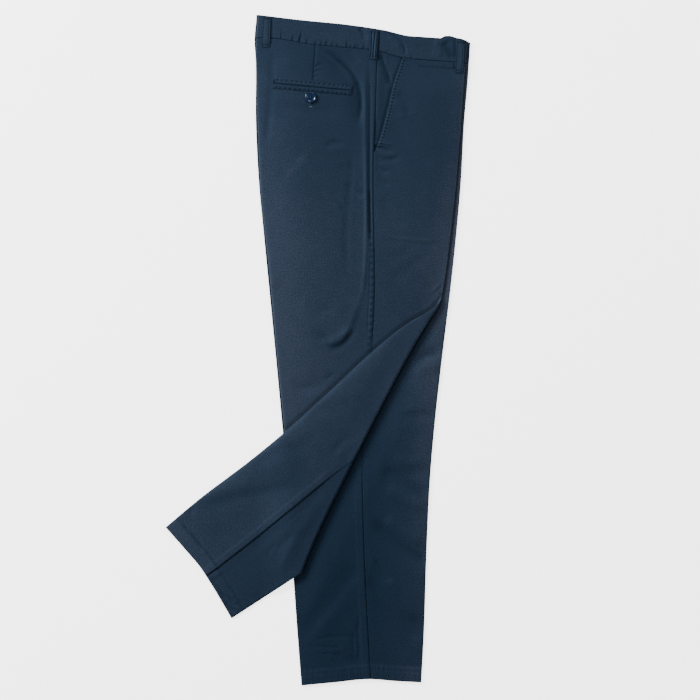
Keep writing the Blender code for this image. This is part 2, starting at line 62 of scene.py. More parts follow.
# %% From pattern to frame
BUTTON_CENTRE = np.array((-11.8, 413.4))
button_low, button_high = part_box("back_pocket_button")
SHIFT = (np.array(button_low[:2]) + np.array(button_high[:2])) / 2 / MM - BUTTON_CENTRE
print("pattern moved by", SHIFT.round(2), "mm")


def to_frame(points):
    """Pattern millimetres to metres in the frame: add SHIFT to x and y, then scale."""
    moved = np.array(points, float)
    moved[..., :2] += SHIFT
    return moved * MM


# %% [markdown]
# ## The camera
#
# The camera looks straight down from far above with a long lens, so that both ends of the legs are seen
# at the same angle. The lens follows from the distance and the width of the view.

# %% Camera straight above
VIEW_WIDTH = 1148.0
VIEW_MIDDLE = (52.5, 0.0, 0.0)
CAMERA_HEIGHT = 6000.0
SENSOR = 36.0
scene = bpy.context.scene


def new_object(name, data, collection=scene.collection):
    """An object that holds this data, linked into a collection."""
    item = bpy.data.objects.new(name, data)
    collection.objects.link(item)
    return item


camera_data = bpy.data.cameras.new("camera")
camera_data.sensor_width = SENSOR
camera_data.lens = SENSOR * CAMERA_HEIGHT / VIEW_WIDTH
scene.camera = new_object("camera", camera_data)
scene.camera.location = to_frame(VIEW_MIDDLE) + np.array((0.0, 0.0, CAMERA_HEIGHT * MM))
print(f"lens {camera_data.lens:.0f} mm")

# %% [markdown]
# ## Studio
#
# A strong soft box stands low on the left, a weak one hangs high on the right, and a third stands beyond
# the waist. Cloth lit from the side shows its creases, because a slope that turns to the left box is
# bright and one that turns away is dark. The paper glows from below, as it does on a light table.

# %% Floor and lights
HALF_FLOOR = 6.0
FLOOR_DROP = 0.0002  # metres, so that the paper and the cloth on it never share a plane
FLOOR_GLOW = 2.8
WORLD_STRENGTH = 0.40
WHITE = (1.0, 1.0, 1.0, 1.0)
PAPER = (0.93, 0.93, 0.93, 1.0)
LIGHTS = (  # name, place in metres, width and height in metres, watts
    ("soft_box_left", (-2.8, 1.6, 1.6), 1.4, 1.1, 325.0),
    ("soft_box_right", (2.0, 0.2, 2.9), 1.6, 1.0, 28.0),
    ("back_wall", (1.0, 3.7, 1.6), 1.8, 1.2, 85.0),
)


def new_material(name, settings):
    """A material whose shader has these sockets set. Returns it with its node tree and its shader."""
    material = bpy.data.materials.new(name)
    material.use_nodes = True
    shader = material.node_tree.nodes["Principled BSDF"]
    for label, value in settings.items():
        shader.inputs[label].default_value = value
    return material, material.node_tree, shader


corners = [(HALF_FLOOR * x, HALF_FLOOR * y, -FLOOR_DROP) for x, y in ((-1, -1), (1, -1), (1, 1), (-1, 1))]
floor_mesh = bpy.data.meshes.new("floor")
floor_mesh.from_pydata(corners, [], [(0, 1, 2, 3)])
floor_look = {"Base Color": PAPER, "Roughness": 0.9, "Emission Color": WHITE, "Emission Strength": FLOOR_GLOW}
floor_mesh.materials.append(new_material("floor_paper", floor_look)[0])
floor = new_object("floor", floor_mesh)

for name, place, width, height, watts in LIGHTS:
    soft_box = bpy.data.lights.new(name, "AREA")
    soft_box.shape, soft_box.size, soft_box.size_y, soft_box.energy = "RECTANGLE", width, height, watts
    light = new_object(name, soft_box)
    light.location = place
    aim = -np.array(place)
    tilt = np.arccos(-aim[2] / np.linalg.norm(aim))
    light.rotation_euler = (tilt, 0.0, np.arctan2(aim[1], aim[0]) - pi / 2)
world = bpy.data.worlds.new("studio")
world.use_nodes = True
sky = world.node_tree.nodes["Background"]
sky.inputs["Color"].default_value = WHITE
sky.inputs["Strength"].default_value = WORLD_STRENGTH
scene.world = world
print(len(LIGHTS), "soft boxes")

# %% [markdown]
# ## The pattern's lines
#
# A crease or a seam is a short table of places, with a smooth curve through them. These are the same
# lines that the solids were cut by, so the skins land on them.

# %% Sizes of the cloth
TUBE = 2.8  # a flattened leg: two walls and the air between them
HALF = TUBE / 2
SEAM = 0.3  # between neighbouring pieces
LEFT_MIDDLE = HALF  # height of the left leg's middle, and of the right one's above it
RIGHT_MIDDLE = TUBE + SEAM + HALF
CLOTH = 0.8  # thickness of the twill
BAND_PROUD = 0.4  # how far the waistband stands above the panels

FOLD_FRONT = (194.7, 66.9)  # the fold line's end at the front crease, and its end at the back crease
FOLD_BACK = (-26.4, -364.7)
ROLL = 2.2  # radius of the roll at the leg's middle
FOLD_BOW = 8.0  # the fold's middle bows out by this much, and the bow dies away over the reach
FOLD_BOW_REACH = 70.0
DRAPE_START = 8.0  # inside the left leg's edge, where the folded end starts to sink to the table
DRAPE_END = 55.0

# Columns: y from the middle of the garment, x
RIGHT_FRONT_CREASE = (
    (510.0, 243.7), (475.6, 241.9), (401.8, 236.8), (328.0, 231.2), (267.3, 226.0), (191.9, 217.8),
    (109.9, 207.0), (80.4, 202.2), (60.0, 198.6), (19.7, 200.0), (-60.7, 196.1), (-152.5, 186.6),
    (-272.4, 174.9), (-324.4, 172.0), (-433.1, 169.3), (-502.2, 164.2),
)
RIGHT_BACK_CREASE = (
    (551.0, -97.9), (500.2, -101.4), (410.0, -100.0), (311.6, -96.8), (246.0, -93.2), (180.4, -85.6),
    (114.8, -78.7), (16.4, -69.5), (-131.2, -54.8), (-246.0, -42.6), (-365.7, -27.0), (-418.7, -24.6),
    (-502.2, -20.6),
)
LEFT_FRONT_CREASE = (
    (505.1, 249.8), (442.8, 245.8), (377.2, 240.1), (278.8, 234.7), (180.4, 226.1), (82.0, 215.3),
    (-16.4, 203.2), (-114.8, 192.2), (-213.2, 183.7), (-311.6, 178.9), (-475.6, 173.3), (-546.1, 169.4),
)
LEFT_BACK_CREASE = (
    (544.5, -101.0), (508.4, -104.1), (475.6, -102.3), (377.2, -102.0), (278.8, -97.3), (180.4, -88.1),
    (82.0, -78.4), (-114.8, -59.5), (-213.2, -50.5), (-311.6, -44.3), (-475.6, -33.0), (-550.1, -27.1),
)
RIGHT_OUTSEAM = (
    (524.8, 98.1), (382.1, 94.1), (324.7, 91.5), (82.0, 93.0), (-4.9, 91.5), (-131.2, 92.7), (-501.8, 108.2),
)
LEFT_OUTSEAM = ((524.8, 98.1), (324.7, 91.5), (82.0, 88.0), (-164.0, 76.0), (-550.0, 80.0))
RIGHT_INSEAM = ((109.9, 77.1), (-49.2, 70.5), (-200.1, 65.8), (-262.4, 65.3), (-501.8, 59.0))
LEFT_INSEAM = ((109.9, 77.1), (-49.2, 72.2), (-164.0, 72.0), (-326.4, 75.8), (-547.8, 86.9))
POCKET_MOUTH = ((492.0, 142.7), (475.3, 137.4), (439.8, 125.6), (384.7, 112.5), (334.9, 98.1), (325.7, 94.1))
CENTRE_FRONT = (
    (524.8, 200.1), (469.0, 198.4), (328.0, 183.7), (229.6, 160.7), (164.0, 127.9), (124.6, 95.1),
    (109.9, 77.1),
)
CENTRE_BACK = (
    (557.6, -57.4), (511.7, -57.4), (328.0, -36.1), (229.6, 0.0), (164.0, 29.5), (124.6, 59.0), (109.9, 77.1),
)
CROTCH_HEIGHT = 109.9
MOUTH_FOOT = 325.7

# Columns: x, y
WAIST_SEAM = (
    (-101.4, 511.5), (-76.4, 510.7), (-4.3, 499.7), (48.2, 495.4), (99.4, 489.7), (138.7, 478.7),
    (163.7, 476.1), (226.6, 471.3), (249.3, 469.4),
)
WAIST_TOP = (
    (-98.7, 549.4), (-28.7, 541.0), (48.2, 533.2), (89.4, 527.4), (109.1, 524.0), (148.4, 514.9),
    (168.1, 513.5), (197.0, 511.5), (200.9, 511.3), (207.5, 514.4), (214.0, 515.0), (227.1, 511.8),
    (240.3, 508.3), (249.3, 503.5),
)
RIGHT_HEM = ((-20.6, -502.2), (48.2, -496.1), (78.2, -494.8), (110.9, -497.4), (164.2, -502.7))
LEFT_HEM = ((-27.1, -550.1), (27.9, -544.8), (85.8, -539.6), (126.3, -542.7), (168.9, -545.0))
print("side seam to inseam of the right leg at the knee:",
      round(RIGHT_OUTSEAM[4][1] - RIGHT_INSEAM[1][1], 1), "mm")

# %% [markdown]
# ## Smooth lines
#
# A cubic Hermite curve goes through every row of a table and takes its slope from the neighbours on both
# sides, like a flexible ruler held by pins.

# %% Curves through tables


def curve(table, at):
    """Cubic Hermite interpolation: the second column's value at a place in the first column."""
    rows = np.array(sorted(table))
    places, values = rows[:, 0], rows[:, 1]
    slopes = np.gradient(values, places)
    at = np.asarray(at, float)
    low = np.clip(np.searchsorted(places, at) - 1, 0, len(places) - 2)
    span = places[low + 1] - places[low]
    s = np.clip((at - places[low]) / span, 0.0, 1.0)
    ends = values[low] * (1 + 2 * s) * (1 - s) ** 2 + values[low + 1] * s * s * (3 - 2 * s)
    leans = slopes[low] * s * (1 - s) ** 2 - slopes[low + 1] * s * s * (1 - s)
    return ends + leans * span


def eased(value):
    """0 below 0, 1 above 1, and 3v^2 - 2v^3 between."""
    value = np.clip(value, 0.0, 1.0)
    return value * value * (3 - 2 * value)


def bump(value, width):
    """A soft hill of height 1: e to the power of minus (value / width) squared."""
    return np.exp(-((value / width) ** 2))


def chord(table, x):
    """The straight line between the table's first and last rows."""
    (x_start, y_start), (x_end, y_end) = table[0], table[-1]
    return y_start + (y_end - y_start) * (x - x_start) / (x_end - x_start)


print("waist seam at the side seam:", round(float(curve(WAIST_SEAM, 98.0)), 1), "mm")

# %% [markdown]
# ## Folding the leg over
#
# The right leg is drawn flat first. Paper folds the same way: what lies past the fold line goes round a
# small roll and comes back upside down. Distances along the cloth stay the same, so nothing stretches.
# The end that reaches past the leg below sinks to the table.

# %% Rolling over a slanting line
fold_run = np.subtract(FOLD_BACK, FOLD_FRONT)
fold_length = np.hypot(*fold_run)
OUTWARDS = np.array((-fold_run[1], fold_run[0])) / fold_length


def beyond_fold(x, y):
    """Distance past the axis of the roll: the dot product of the point with OUTWARDS."""
    return (x - FOLD_FRONT[0]) * OUTWARDS[0] + (y - FOLD_FRONT[1]) * OUTWARDS[1] + ROLL + HALF


def along_fold(x, y):
    """Share of the way along the fold line, 0 at the front crease and 1 at the back crease."""
    return ((x - FOLD_FRONT[0]) * fold_run[0] + (y - FOLD_FRONT[1]) * fold_run[1]) / fold_length**2


def fold_bow(x, y):
    """The folded edge bows out by FOLD_BOW * (1 - (2 * share - 1)^4) along its length."""
    return FOLD_BOW * np.clip(1 - (2 * along_fold(x, y) - 1) ** 4, 0.0, 1.0)


def place_left(x, y, height):
    """The left leg lies face down, so its heights are counted downwards from its middle."""
    return np.stack(np.broadcast_arrays(x, y, LEFT_MIDDLE - height), axis=-1)


def place_right(x, y, height):
    """Round the roll the turn is distance / ROLL. A point at that turn stands (ROLL - height) from the
    axis, so its way out is that radius times sin(turn) and its rise is the radius times 1 - cos(turn)."""
    beyond = beyond_fold(x, y)
    turn = np.clip(beyond / ROLL, 0.0, pi)
    distance = (ROLL - height) * np.sin(turn) - np.maximum(beyond - pi * ROLL, 0.0)
    distance = np.where(beyond > 0, distance, beyond)
    z = RIGHT_MIDDLE + ROLL - (ROLL - height) * np.cos(turn)
    shift = distance - beyond - fold_bow(x, y) * bump(distance, FOLD_BOW_REACH)
    x, y = x + OUTWARDS[0] * shift, y + OUTWARDS[1] * shift
    outside = curve(LEFT_BACK_CREASE, y) - x
    sunk = eased((outside + DRAPE_START) / (DRAPE_START + DRAPE_END))
    z = z - sunk * (turn / pi) * (RIGHT_MIDDLE + 2 * ROLL - HALF)
    return np.stack(np.broadcast_arrays(x, y, z), axis=-1)


print(f"the fold is {fold_length:.0f} mm long")

# %% [markdown]
# ## Creases, one by one
#
# Real cloth has few creases, all different. Each one here is a short line of points with a rise (a
# negative rise is a trough) and two widths, one for each side, so that a crease can be crisp on one side
# and soft on the other. The height falls off from the line as a soft hill and fades at both ends.

# %% A crease along a line
CREASE_END = 0.22  # share of a crease's length over which each end fades
CREASE_REACH = 3  # widths from the line, past which the height is nothing


def path_points(corners, steps=6):
    """Points along a smooth line through the corners, with Hermite curves of both columns over the step."""
    corners = np.array(corners, float)
    at = np.linspace(0, len(corners) - 1, (len(corners) - 1) * steps + 1)
    places = np.arange(len(corners))
    return np.stack([curve(np.stack((places, corners[:, i]), axis=1).tolist(), at) for i in (0, 1)], axis=1)


def crease(x, y, rise, wide_left, wide_right, corners):
    """rise * e^-(d / width)^2 * fade, where d is the distance to the line and the width depends on the
    side. The fade climbs over the first part of the line and falls over the last."""
    x, y = np.broadcast_arrays(x, y)
    height = np.zeros(x.shape)
    line = path_points(corners)
    reach = CREASE_REACH * max(wide_left, wide_right)
    near = (x > line[:, 0].min() - reach) & (x < line[:, 0].max() + reach)
    near &= (y > line[:, 1].min() - reach) & (y < line[:, 1].max() + reach)
    if not near.any():
        return height
    px, py = x[near], y[near]
    best, side, along = np.full(px.shape, np.inf), np.zeros(px.shape), np.zeros(px.shape)
    for k, (start, end) in enumerate(zip(line[:-1], line[1:])):
        run = end - start
        length = np.hypot(*run)
        t = np.clip(((px - start[0]) * run[0] + (py - start[1]) * run[1]) / length**2, 0.0, 1.0)
        away_x, away_y = px - start[0] - t * run[0], py - start[1] - t * run[1]
        distance = np.hypot(away_x, away_y)
        closer = distance < best
        best = np.where(closer, distance, best)
        side = np.where(closer, run[0] * away_y - run[1] * away_x, side)
        along = np.where(closer, (k + t) / (len(line) - 1), along)
    fade = eased(along / CREASE_END) * eased((1 - along) / CREASE_END)
    height[near] = rise * fade * bump(best, np.where(side > 0, wide_left, wide_right))
    return height


def creases(table, x, y):
    """The sum of the heights of all the table's creases."""
    return sum(crease(x, y, *row) for row in table)


def rungs(s, pitch):
    """A nearly regular wave along s: a sine whose phase drifts a little, as hand-fed sewing does."""
    return np.sin(2 * pi * s / pitch + 0.8 * np.sin(2 * pi * s / (7.3 * pitch)))


def uneven(s, pitch):
    """A wave along s that is never quite regular: a sine whose phase and size wander by slower sines."""
    wander = 1.3 * np.sin(2 * pi * s / (3.7 * pitch) + 0.7)
    size = 0.72 + 0.28 * np.sin(2 * pi * s / (5.3 * pitch) + 1.9)
    return size * np.sin(2 * pi * s / pitch + wander)


one_crease = ((1.0, 5.0, 5.0, ((0, -9), (0, 9))),)
print("heights 0, 5 and 10 mm beside a crease:", creases(one_crease, np.array((0, 5, 10)), 0).round(2))

# %% [markdown]
# The tables below hold the creases of each part of the cloth that shows. A back pocket pulls the hip, the
# side seam makes a ridge beside it, and the folded knee leaves a half moon.

# %% Creases of the hip and thigh
THIGH_CREASES = (  # rise, width left and right of the line as it runs, corners (x, y)
    (1.2, 52.0, 46.0, ((-30, 530), (-30, 420), (-34, 300), (-22, 180), (0, 60))),
    (0.5, 40.0, 40.0, ((172, 480), (164, 380), (158, 240), (146, 120))),
    (-1.0, 5.0, 14.0, ((4, 500), (28, 480), (50, 461), (64, 439), (70, 415), (68, 380), (58, 345))),
    (-1.3, 2.8, 2.6, ((4, 497), (30, 478), (51, 460), (64, 440), (70, 416), (70, 390), (64, 368))),
    (0.9, 2.4, 4.0, ((10, 488), (35, 468), (53, 448), (60, 428))),
    (-0.3, 6.0, 22.0, ((66, 360), (64, 290), (62, 190), (60, 80))),
    (-0.7, 3.0, 4.0, ((52, 330), (56, 290), (50, 240), (47, 160), (52, 110))),
    (0.8, 3.6, 2.8, ((76, 480), (76.5, 420), (77, 330), (78, 250), (78, 190), (75, 110), (66, 66))),
    (-0.8, 2.2, 2.6, ((85, 496), (85.5, 410), (85, 328), (85, 238), (86, 190), (88, 160))),
    (-0.7, 1.8, 2.2, ((85, 268), (85, 238), (86, 200), (87, 180))),
    (-0.35, 1.8, 1.8, ((87, 190), (85, 110), (83, 60), (82, 4))),
    (0.6, 3.0, 12.0, ((69, 90), (65, 66), (58, 46), (40, 24), (12, 12))),
    (1.3, 2.6, 8.0, ((56, 40), (46, 23), (32, 12), (12, 10))),
    (-0.5, 6.0, 3.0, ((64, 40), (52, 20), (36, 4), (18, 0))),
    (-0.9, 2.4, 4.0, ((-8, 34), (2, 22), (12, 17))),
    (-0.5, 8.0, 8.0, ((-2, 54), (10, 66), (24, 68))),
    (-0.8, 1.8, 2.4, ((25, -37), (11, -48))),
    (-0.6, 14.0, 14.0, ((-44, -70), (-10, -62), (22, -58))),
    (-0.6, 3.0, 5.0, ((-44, -46), (-30, -60), (-6, -62))),
    (-0.5, 2.6, 5.0, ((12, 330), (26, 342), (42, 336))),
    (0.4, 4.0, 5.0, ((20, 322), (32, 330), (44, 320))),
    (-0.7, 2.4, 4.0, ((38, 306), (44, 296), (52, 290))),
    (-0.7, 2.4, 5.0, ((18, 262), (34, 244), (47, 226))),
    (-0.5, 2.4, 4.0, ((4, 252), (16, 244), (28, 234))),
    (0.6, 3.4, 3.4, ((12, 256), (28, 244), (40, 230))),
    (-0.7, 2.4, 4.0, ((44, 276), (58, 262), (76, 250))),
    (0.5, 4.0, 4.0, ((50, 284), (62, 270), (76, 262))),
    (0.2, 3.0, 4.0, ((99, 196), (108, 187), (130, 183), (170, 180), (205, 179))),
    (-0.3, 3.0, 8.0, ((112, 184), (150, 177), (205, 173))),
    (-0.3, 8.0, 10.0, ((114, 104), (148, 134), (188, 165))),
    (-0.25, 7.0, 9.0, ((110, 150), (134, 158), (160, 172))),
    (0.35, 2.6, 3.6, ((188, 94), (196, 104), (204, 108))),
    (-0.4, 2.0, 2.6, ((186, 88), (196, 97), (203, 102))),
    (-0.5, 1.6, 2.0, ((190, 72), (198, 80), (203, 84))),
    (-0.9, 1.6, 3.0, ((94, 333), (104, 332), (118, 327), (126, 322))),
    (0.5, 2.4, 2.4, ((96, 338), (108, 339), (122, 334))),
    (-0.6, 2.4, 3.4, ((94, 320), (106, 311), (122, 312), (136, 320))),
    (-0.5, 2.4, 3.4, ((94, 302), (104, 294), (120, 294))),
    (0.5, 3.0, 3.0, ((95, 326), (110, 319), (128, 322))),
    (-0.4, 3.0, 4.0, ((97, 284), (108, 274), (118, 272))),
    (0.4, 5.0, 7.0, ((124, 410), (136, 394), (142, 376))),
    (-0.45, 7.0, 9.0, ((130, 424), (146, 404), (152, 384))),
    (-0.5, 8.0, 10.0, ((106, 256), (120, 225), (150, 200))),
    (-0.45, 1.6, 2.4, ((-6, 462), (-1, 466), (7, 469))),
    (-0.4, 1.6, 2.4, ((-9, 452), (0, 458), (11, 459))),
    (-0.3, 1.6, 2.4, ((-9, 445), (-2, 449), (4, 450))),
    (-0.9, 2.4, 5.0, ((-77, 498), (-75, 460), (-76, 420), (-80, 370), (-84, 330))),
    (-0.6, 4.0, 5.0, ((48, 494), (58, 482), (66, 468))),
    (-0.5, 10.0, 12.0, ((-70, 408), (-40, 396), (0, 390), (40, 392))),
    (0.4, 12.0, 12.0, ((-60, 476), (-30, 466), (-8, 462))),
    (-0.4, 14.0, 14.0, ((120, 380), (150, 330), (190, 300))),
    (-0.5, 12.0, 16.0, ((-70, 120), (-40, 90), (-20, 84))),
)

# %% [markdown]
# On the folded leg the cloth is seen from its other side: the front half lies above the inseam and the
# back half, a little lower, below it.

# %% Creases of the folded leg and of the lower leg
FOLDED_CREASES = (
    (0.8, 30.0, 30.0, ((150, 40), (40, -70), (-90, -190), (-190, -270))),
    (-0.6, 9.0, 14.0, ((-112, -190), (-76, -172), (-41, -160), (0, -156))),
    (-0.55, 10.0, 14.0, ((-200, -262), (-155, -246), (-112, -236), (-66, -226), (-20, -216))),
    (0.35, 10.0, 12.0, ((-196, -244), (-150, -226), (-100, -212))),
    (-0.7, 5.0, 7.0, ((22, -166), (44, -150), (72, -140))),
    (0.6, 6.0, 6.0, ((30, -178), (54, -164), (76, -152))),
    (-0.6, 5.0, 6.0, ((64, -96), (72, -116), (74, -136))),
    (0.9, 16.0, 10.0, ((44, -216), (4, -262), (-40, -318), (-66, -380))),
    (-0.5, 3.0, 5.0, ((36, -244), (22, -262), (0, -282), (-22, -300))),
    (0.4, 3.0, 4.0, ((40, -252), (24, -272), (4, -292))),
    (-0.4, 2.4, 3.4, ((-66, -318), (-76, -326), (-84, -338))),
    (-0.35, 2.4, 3.4, ((-52, -314), (-62, -322), (-70, -334))),
    (-0.5, 7.0, 9.0, ((-58, -312), (-36, -306), (-10, -314))),
    (-0.8, 3.0, 5.0, ((-216, -252), (-203, -268))),
    (-0.7, 1.8, 2.6, ((-204, -298), (-196, -312), (-190, -330))),
    (-0.7, 1.6, 2.4, ((-146, -402), (-140, -414), (-126, -420))),
    (-0.6, 1.6, 2.4, ((-152, -412), (-144, -424), (-132, -430))),
    (-0.6, 1.6, 2.4, ((-162, -392), (-154, -404), (-146, -408))),
    (-0.5, 10.0, 12.0, ((60, -92), (20, -96), (-20, -112))),
)
LOWER_CREASES = (
    (-1.6, 5.0, 12.0, ((206, -8), (186, -8), (166, -14), (150, -26), (140, -48))),
    (0.8, 10.0, 8.0, ((204, -26), (176, -28), (158, -44))),
    (-0.45, 6.0, 9.0, ((130, -112), (156, -106), (176, -106), (206, -110))),
    (0.3, 7.0, 7.0, ((140, -98), (176, -96))),
    (-0.5, 9.0, 9.0, ((96, -190), (120, -201), (150, -204), (190, -198))),
    (-0.9, 9.0, 14.0, ((104, -196), (138, -216), (190, -244))),
    (0.9, 10.0, 10.0, ((110, -226), (140, -244), (176, -262))),
    (0.4, 8.0, 8.0, ((120, -180), (150, -184), (180, -180))),
    (-1.7, 8.0, 12.0, ((90, -274), (110, -300), (136, -324), (160, -340), (186, -354))),
    (0.9, 10.0, 10.0, ((110, -272), (136, -296), (172, -318))),
    (0.5, 16.0, 16.0, ((54, -372), (26, -424), (-4, -476))),
    (-1.2, 12.0, 20.0, ((66, -346), (48, -378), (20, -416), (-8, -448), (-26, -476))),
    (-1.5, 16.0, 12.0, ((80, -350), (96, -396), (124, -432), (150, -458), (170, -480))),
    (0.9, 10.0, 10.0, ((104, -366), (132, -410), (164, -446))),
    (-0.9, 4.0, 5.0, ((92, -340), (108, -366), (122, -380))),
    (-0.35, 1.6, 2.4, ((-10, -476), (20, -470), (50, -470), (66, -474))),
    (-0.3, 1.6, 2.4, ((-16, -484), (14, -487), (44, -485))),
    (-0.25, 1.6, 2.2, ((-2, -496), (26, -499), (52, -495))),
    (-0.5, 2.0, 2.4, ((69, -432), (66, -462), (68, -490), (66, -512))),
    (-0.7, 1.6, 2.0, ((60, -456), (58, -482), (61, -506))),
    (-0.5, 8.0, 10.0, ((20, -500), (50, -508), (80, -506))),
)
print(len(THIGH_CREASES) + len(FOLDED_CREASES) + len(LOWER_CREASES), "creases on the legs")

# %% [markdown]
# ## Hills beside a line
#
# Much of the relief runs beside a line of the pattern: the ridge next to a seam, the groove that sewing
# pulls, the soft edge of a hem. Each is one row of a table, and the rows of a table are summed.

# %% Lines and hills
DART = ((499.0, -4.2), (470.0, -6.2), (440.0, -8.3))
DART_FOOT = 437.0
LINES = {  # distance of a point from each line that is cut, pressed or sewn
    "front crease": lambda leg, x, y: curve(leg.front_crease, y) - x,
    "back crease": lambda leg, x, y: x - curve(leg.back_crease, y),
    "side seam": lambda leg, x, y: x - curve(leg.outseam, y),
    "inseam": lambda leg, x, y: x - curve(leg.inseam, y),
    "hem": lambda leg, x, y: y - curve(leg.hem, x),
    "dart": lambda leg, x, y: x - curve(DART, y),
    "pocket mouth": lambda leg, x, y: x - curve(POCKET_MOUTH, y),
    "waist seam": lambda leg, x, y: curve(WAIST_SEAM, x) - y,
    "waist top": lambda leg, x, y: curve(WAIST_TOP, x) - y,
    "x": lambda leg, x, y: x,  # the two axes, for what depends on one of them only
    "y": lambda leg, x, y: y,
}


def hills(table, leg, x, y):
    """A row holds a line, a rise, a place and a width, and makes rise * e^-((d - place) / width)^2 at
    distance d from the line. With a start and a reach, it grows from nothing at y = start to its whole
    rise at y = start + reach."""
    total = np.zeros(np.broadcast(x, y).shape)
    for line, rise, place, width, *fade in table:
        hill = rise * bump(LINES[line](leg, x, y) - place, width)
        total = total + (hill * eased((y - fade[0]) / fade[1]) if fade else hill)
    return total


print("lines:", *LINES)

# %% [markdown]
# ## Seams and hems in relief
#
# A seam is two cloths turned in and pressed. From outside it is a thin groove with a flat, slightly
# raised band on each side, where the allowances lie under the cloth. A hem is folded twice, so it is
# thicker, and its sewing pulls small puckers.

# %% Relief of seams and hems
CREASE_DEPTH = 1.8  # times the rises in the tables
SINK = 2.2  # the deepest dip towards the layer below
SEAM_DIP = 0.9
ALLOWANCE = 13.0  # width of the turned-in edge beside a seam
ALLOWANCE_RISE = 0.35
HEM_DEPTH = 25.5
HEM_STITCH = HEM_DEPTH - 1.8  # the sewing above the hem's edge
HEM_RISE = 0.35
HEM_HILLS = (("hem", -0.4, HEM_STITCH, 1.1), ("hem", -0.35, 0.0, 1.0))
PRESSED = 7.0  # relief dies out this far before a pressed crease


def settled(height):
    """Cloth can't sink through the layer below it: a negative height h becomes -SINK tanh(-h / SINK)."""
    return np.where(height < 0, SINK * np.tanh(height / SINK), height)


def seam_relief(d, rise_left=1.0, rise_right=1.0):
    """-SEAM_DIP * e^-(d / 1 mm)^2, plus a band of ALLOWANCE_RISE out to ALLOWANCE on each side."""
    groove = -SEAM_DIP * bump(d, 1.0)
    band = eased((ALLOWANCE - np.abs(d)) / 2.0) * ALLOWANCE_RISE
    return groove + band * np.where(d < 0, rise_left, rise_right)


def hem_relief(leg, x, y):
    """A step of HEM_RISE up to HEM_DEPTH from the edge, with grooves and puckers beside the sewing."""
    d = y - curve(leg.hem, x)
    step = HEM_RISE * eased((HEM_DEPTH - d) / 1.6)
    pucker = 0.3 * uneven(x, 6.5) * bump(d - HEM_DEPTH + 4.0, 7.0)
    pucker = pucker + 0.2 * uneven(x + 3.0, 10.5) * eased((HEM_DEPTH - d) / 6.0)
    return step + pucker + hills(HEM_HILLS, leg, x, y)


def to_creases(leg, x, y):
    """Distances from a leg's front crease and from its back crease."""
    return LINES["front crease"](leg, x, y), LINES["back crease"](leg, x, y)


def crease_fade(leg, x, y):
    """0 at a pressed crease, where the cloth turns under, easing to 1 at PRESSED from it."""
    return eased(np.minimum(*to_creases(leg, x, y)) / PRESSED)


def swell(leg, x, y, rise, reach_front, reach_back):
    """The leg is never quite flat: it rises from both creases like a low cushion, by
    rise * (1 - (1 - d / reach)^2) at distance d, up to the reach."""
    to_front, to_back = to_creases(leg, x, y)
    to_front, to_back = np.clip(to_front / reach_front, 0.0, 1.0), np.clip(to_back / reach_back, 0.0, 1.0)
    return rise * (1 - (1 - to_front) ** 2) * (1 - (1 - to_back) ** 2)


print("the hem's sewing is", HEM_STITCH, "mm above its edge")

# %% [markdown]
# ## Where one layer lies on another
#
# The folded leg covers part of the thigh, and both lie on the left leg. Beside such an edge the cloth
# below is flat and catches little light. So every point knows its distance from the edge above it: the
# relief uses it here, and the dye uses it further down.

# %% Distance from the layer above
NO_GAP = 100.0  # mm, too far to matter
FRONT_TIMES = 2  # distances count this many times beside the front crease of the leg above
BACK_TIMES = 60  # and beside its back crease, where there is no gap to look into


def thigh_gap(x, y):
    """Distance from the folded leg's edge, where the thigh is bare, and NO_GAP elsewhere. That edge is
    the mirror image of the front crease on the far side of the fold."""
    beyond = beyond_fold(x, y)
    mirror_x, mirror_y = x - 2 * beyond * OUTWARDS[0], y - 2 * beyond * OUTWARDS[1]
    return np.where(beyond < 0, mirror_x - curve(RIGHT_FRONT_CREASE, mirror_y), NO_GAP)


def bare_thigh(x, y, reach):
    """1 where the thigh is bare and 0 under the folded leg, easing over a reach outside its edge."""
    return np.where(beyond_fold(x, y) < 0, eased((thigh_gap(x, y) - 1.0) / reach), 0.0)


def lower_gap(x, y):
    """Distance of a place on the left leg from the edge of the right leg that lies on it."""
    to_front, to_back = to_creases(right, x, y)
    beside = np.maximum(-FRONT_TIMES * to_front, -BACK_TIMES * to_back)
    beside = np.maximum(beside, beyond_fold(x, y) - ROLL - HALF + fold_bow(x, y))
    past_end = np.maximum(along_fold(x, y) - 1, 0.0) * fold_length
    return np.hypot(np.maximum(beside, 0.0), past_end)


print("the thigh is", np.round(thigh_gap(60.0, 200.0)), "mm from the folded leg in its middle")

# %% [markdown]
# ## Relief of each part that shows
#
# Each function below adds up the creases, the seams and the sewing of one part of the cloth, as heights
# in millimetres over the flat tube.

# %% Relief of the three parts
TICK_PITCH = 11.0  # short creases beside the side seam of the thigh
MOUTH_STITCH = 5.4  # the pocket mouth's sewing, from its edge
MOUTH_PITCH = 5.3  # puckers along that sewing
MOUTH_LEAN = 0.28
THIGH_HILLS = (
    ("side seam", 0.35, -5.0, 3.4, 230, -50),
    ("dart", -0.8, 0.0, 1.1, DART_FOOT, 12),
    ("dart", 0.25, 4.0, 3.0, DART_FOOT + 8, 30),
    ("waist seam", -0.5, 0.0, 0.9),
    ("pocket mouth", 0.4, 1.5, 8.0, MOUTH_FOOT, 4),
    ("pocket mouth", -0.4, MOUTH_STITCH, 0.9, MOUTH_FOOT, 4),
    ("pocket mouth", -0.5, 0.0, 0.8, MOUTH_FOOT, 4),
)
FOLDED_HILLS = (("inseam", -0.6, -9.0, 9.0, -480, 80),)


def ticked(y):
    """1 down the length of the thigh where the side seam is puckered."""
    return eased((220 - y) / 40) * eased((y + 20) / 20)


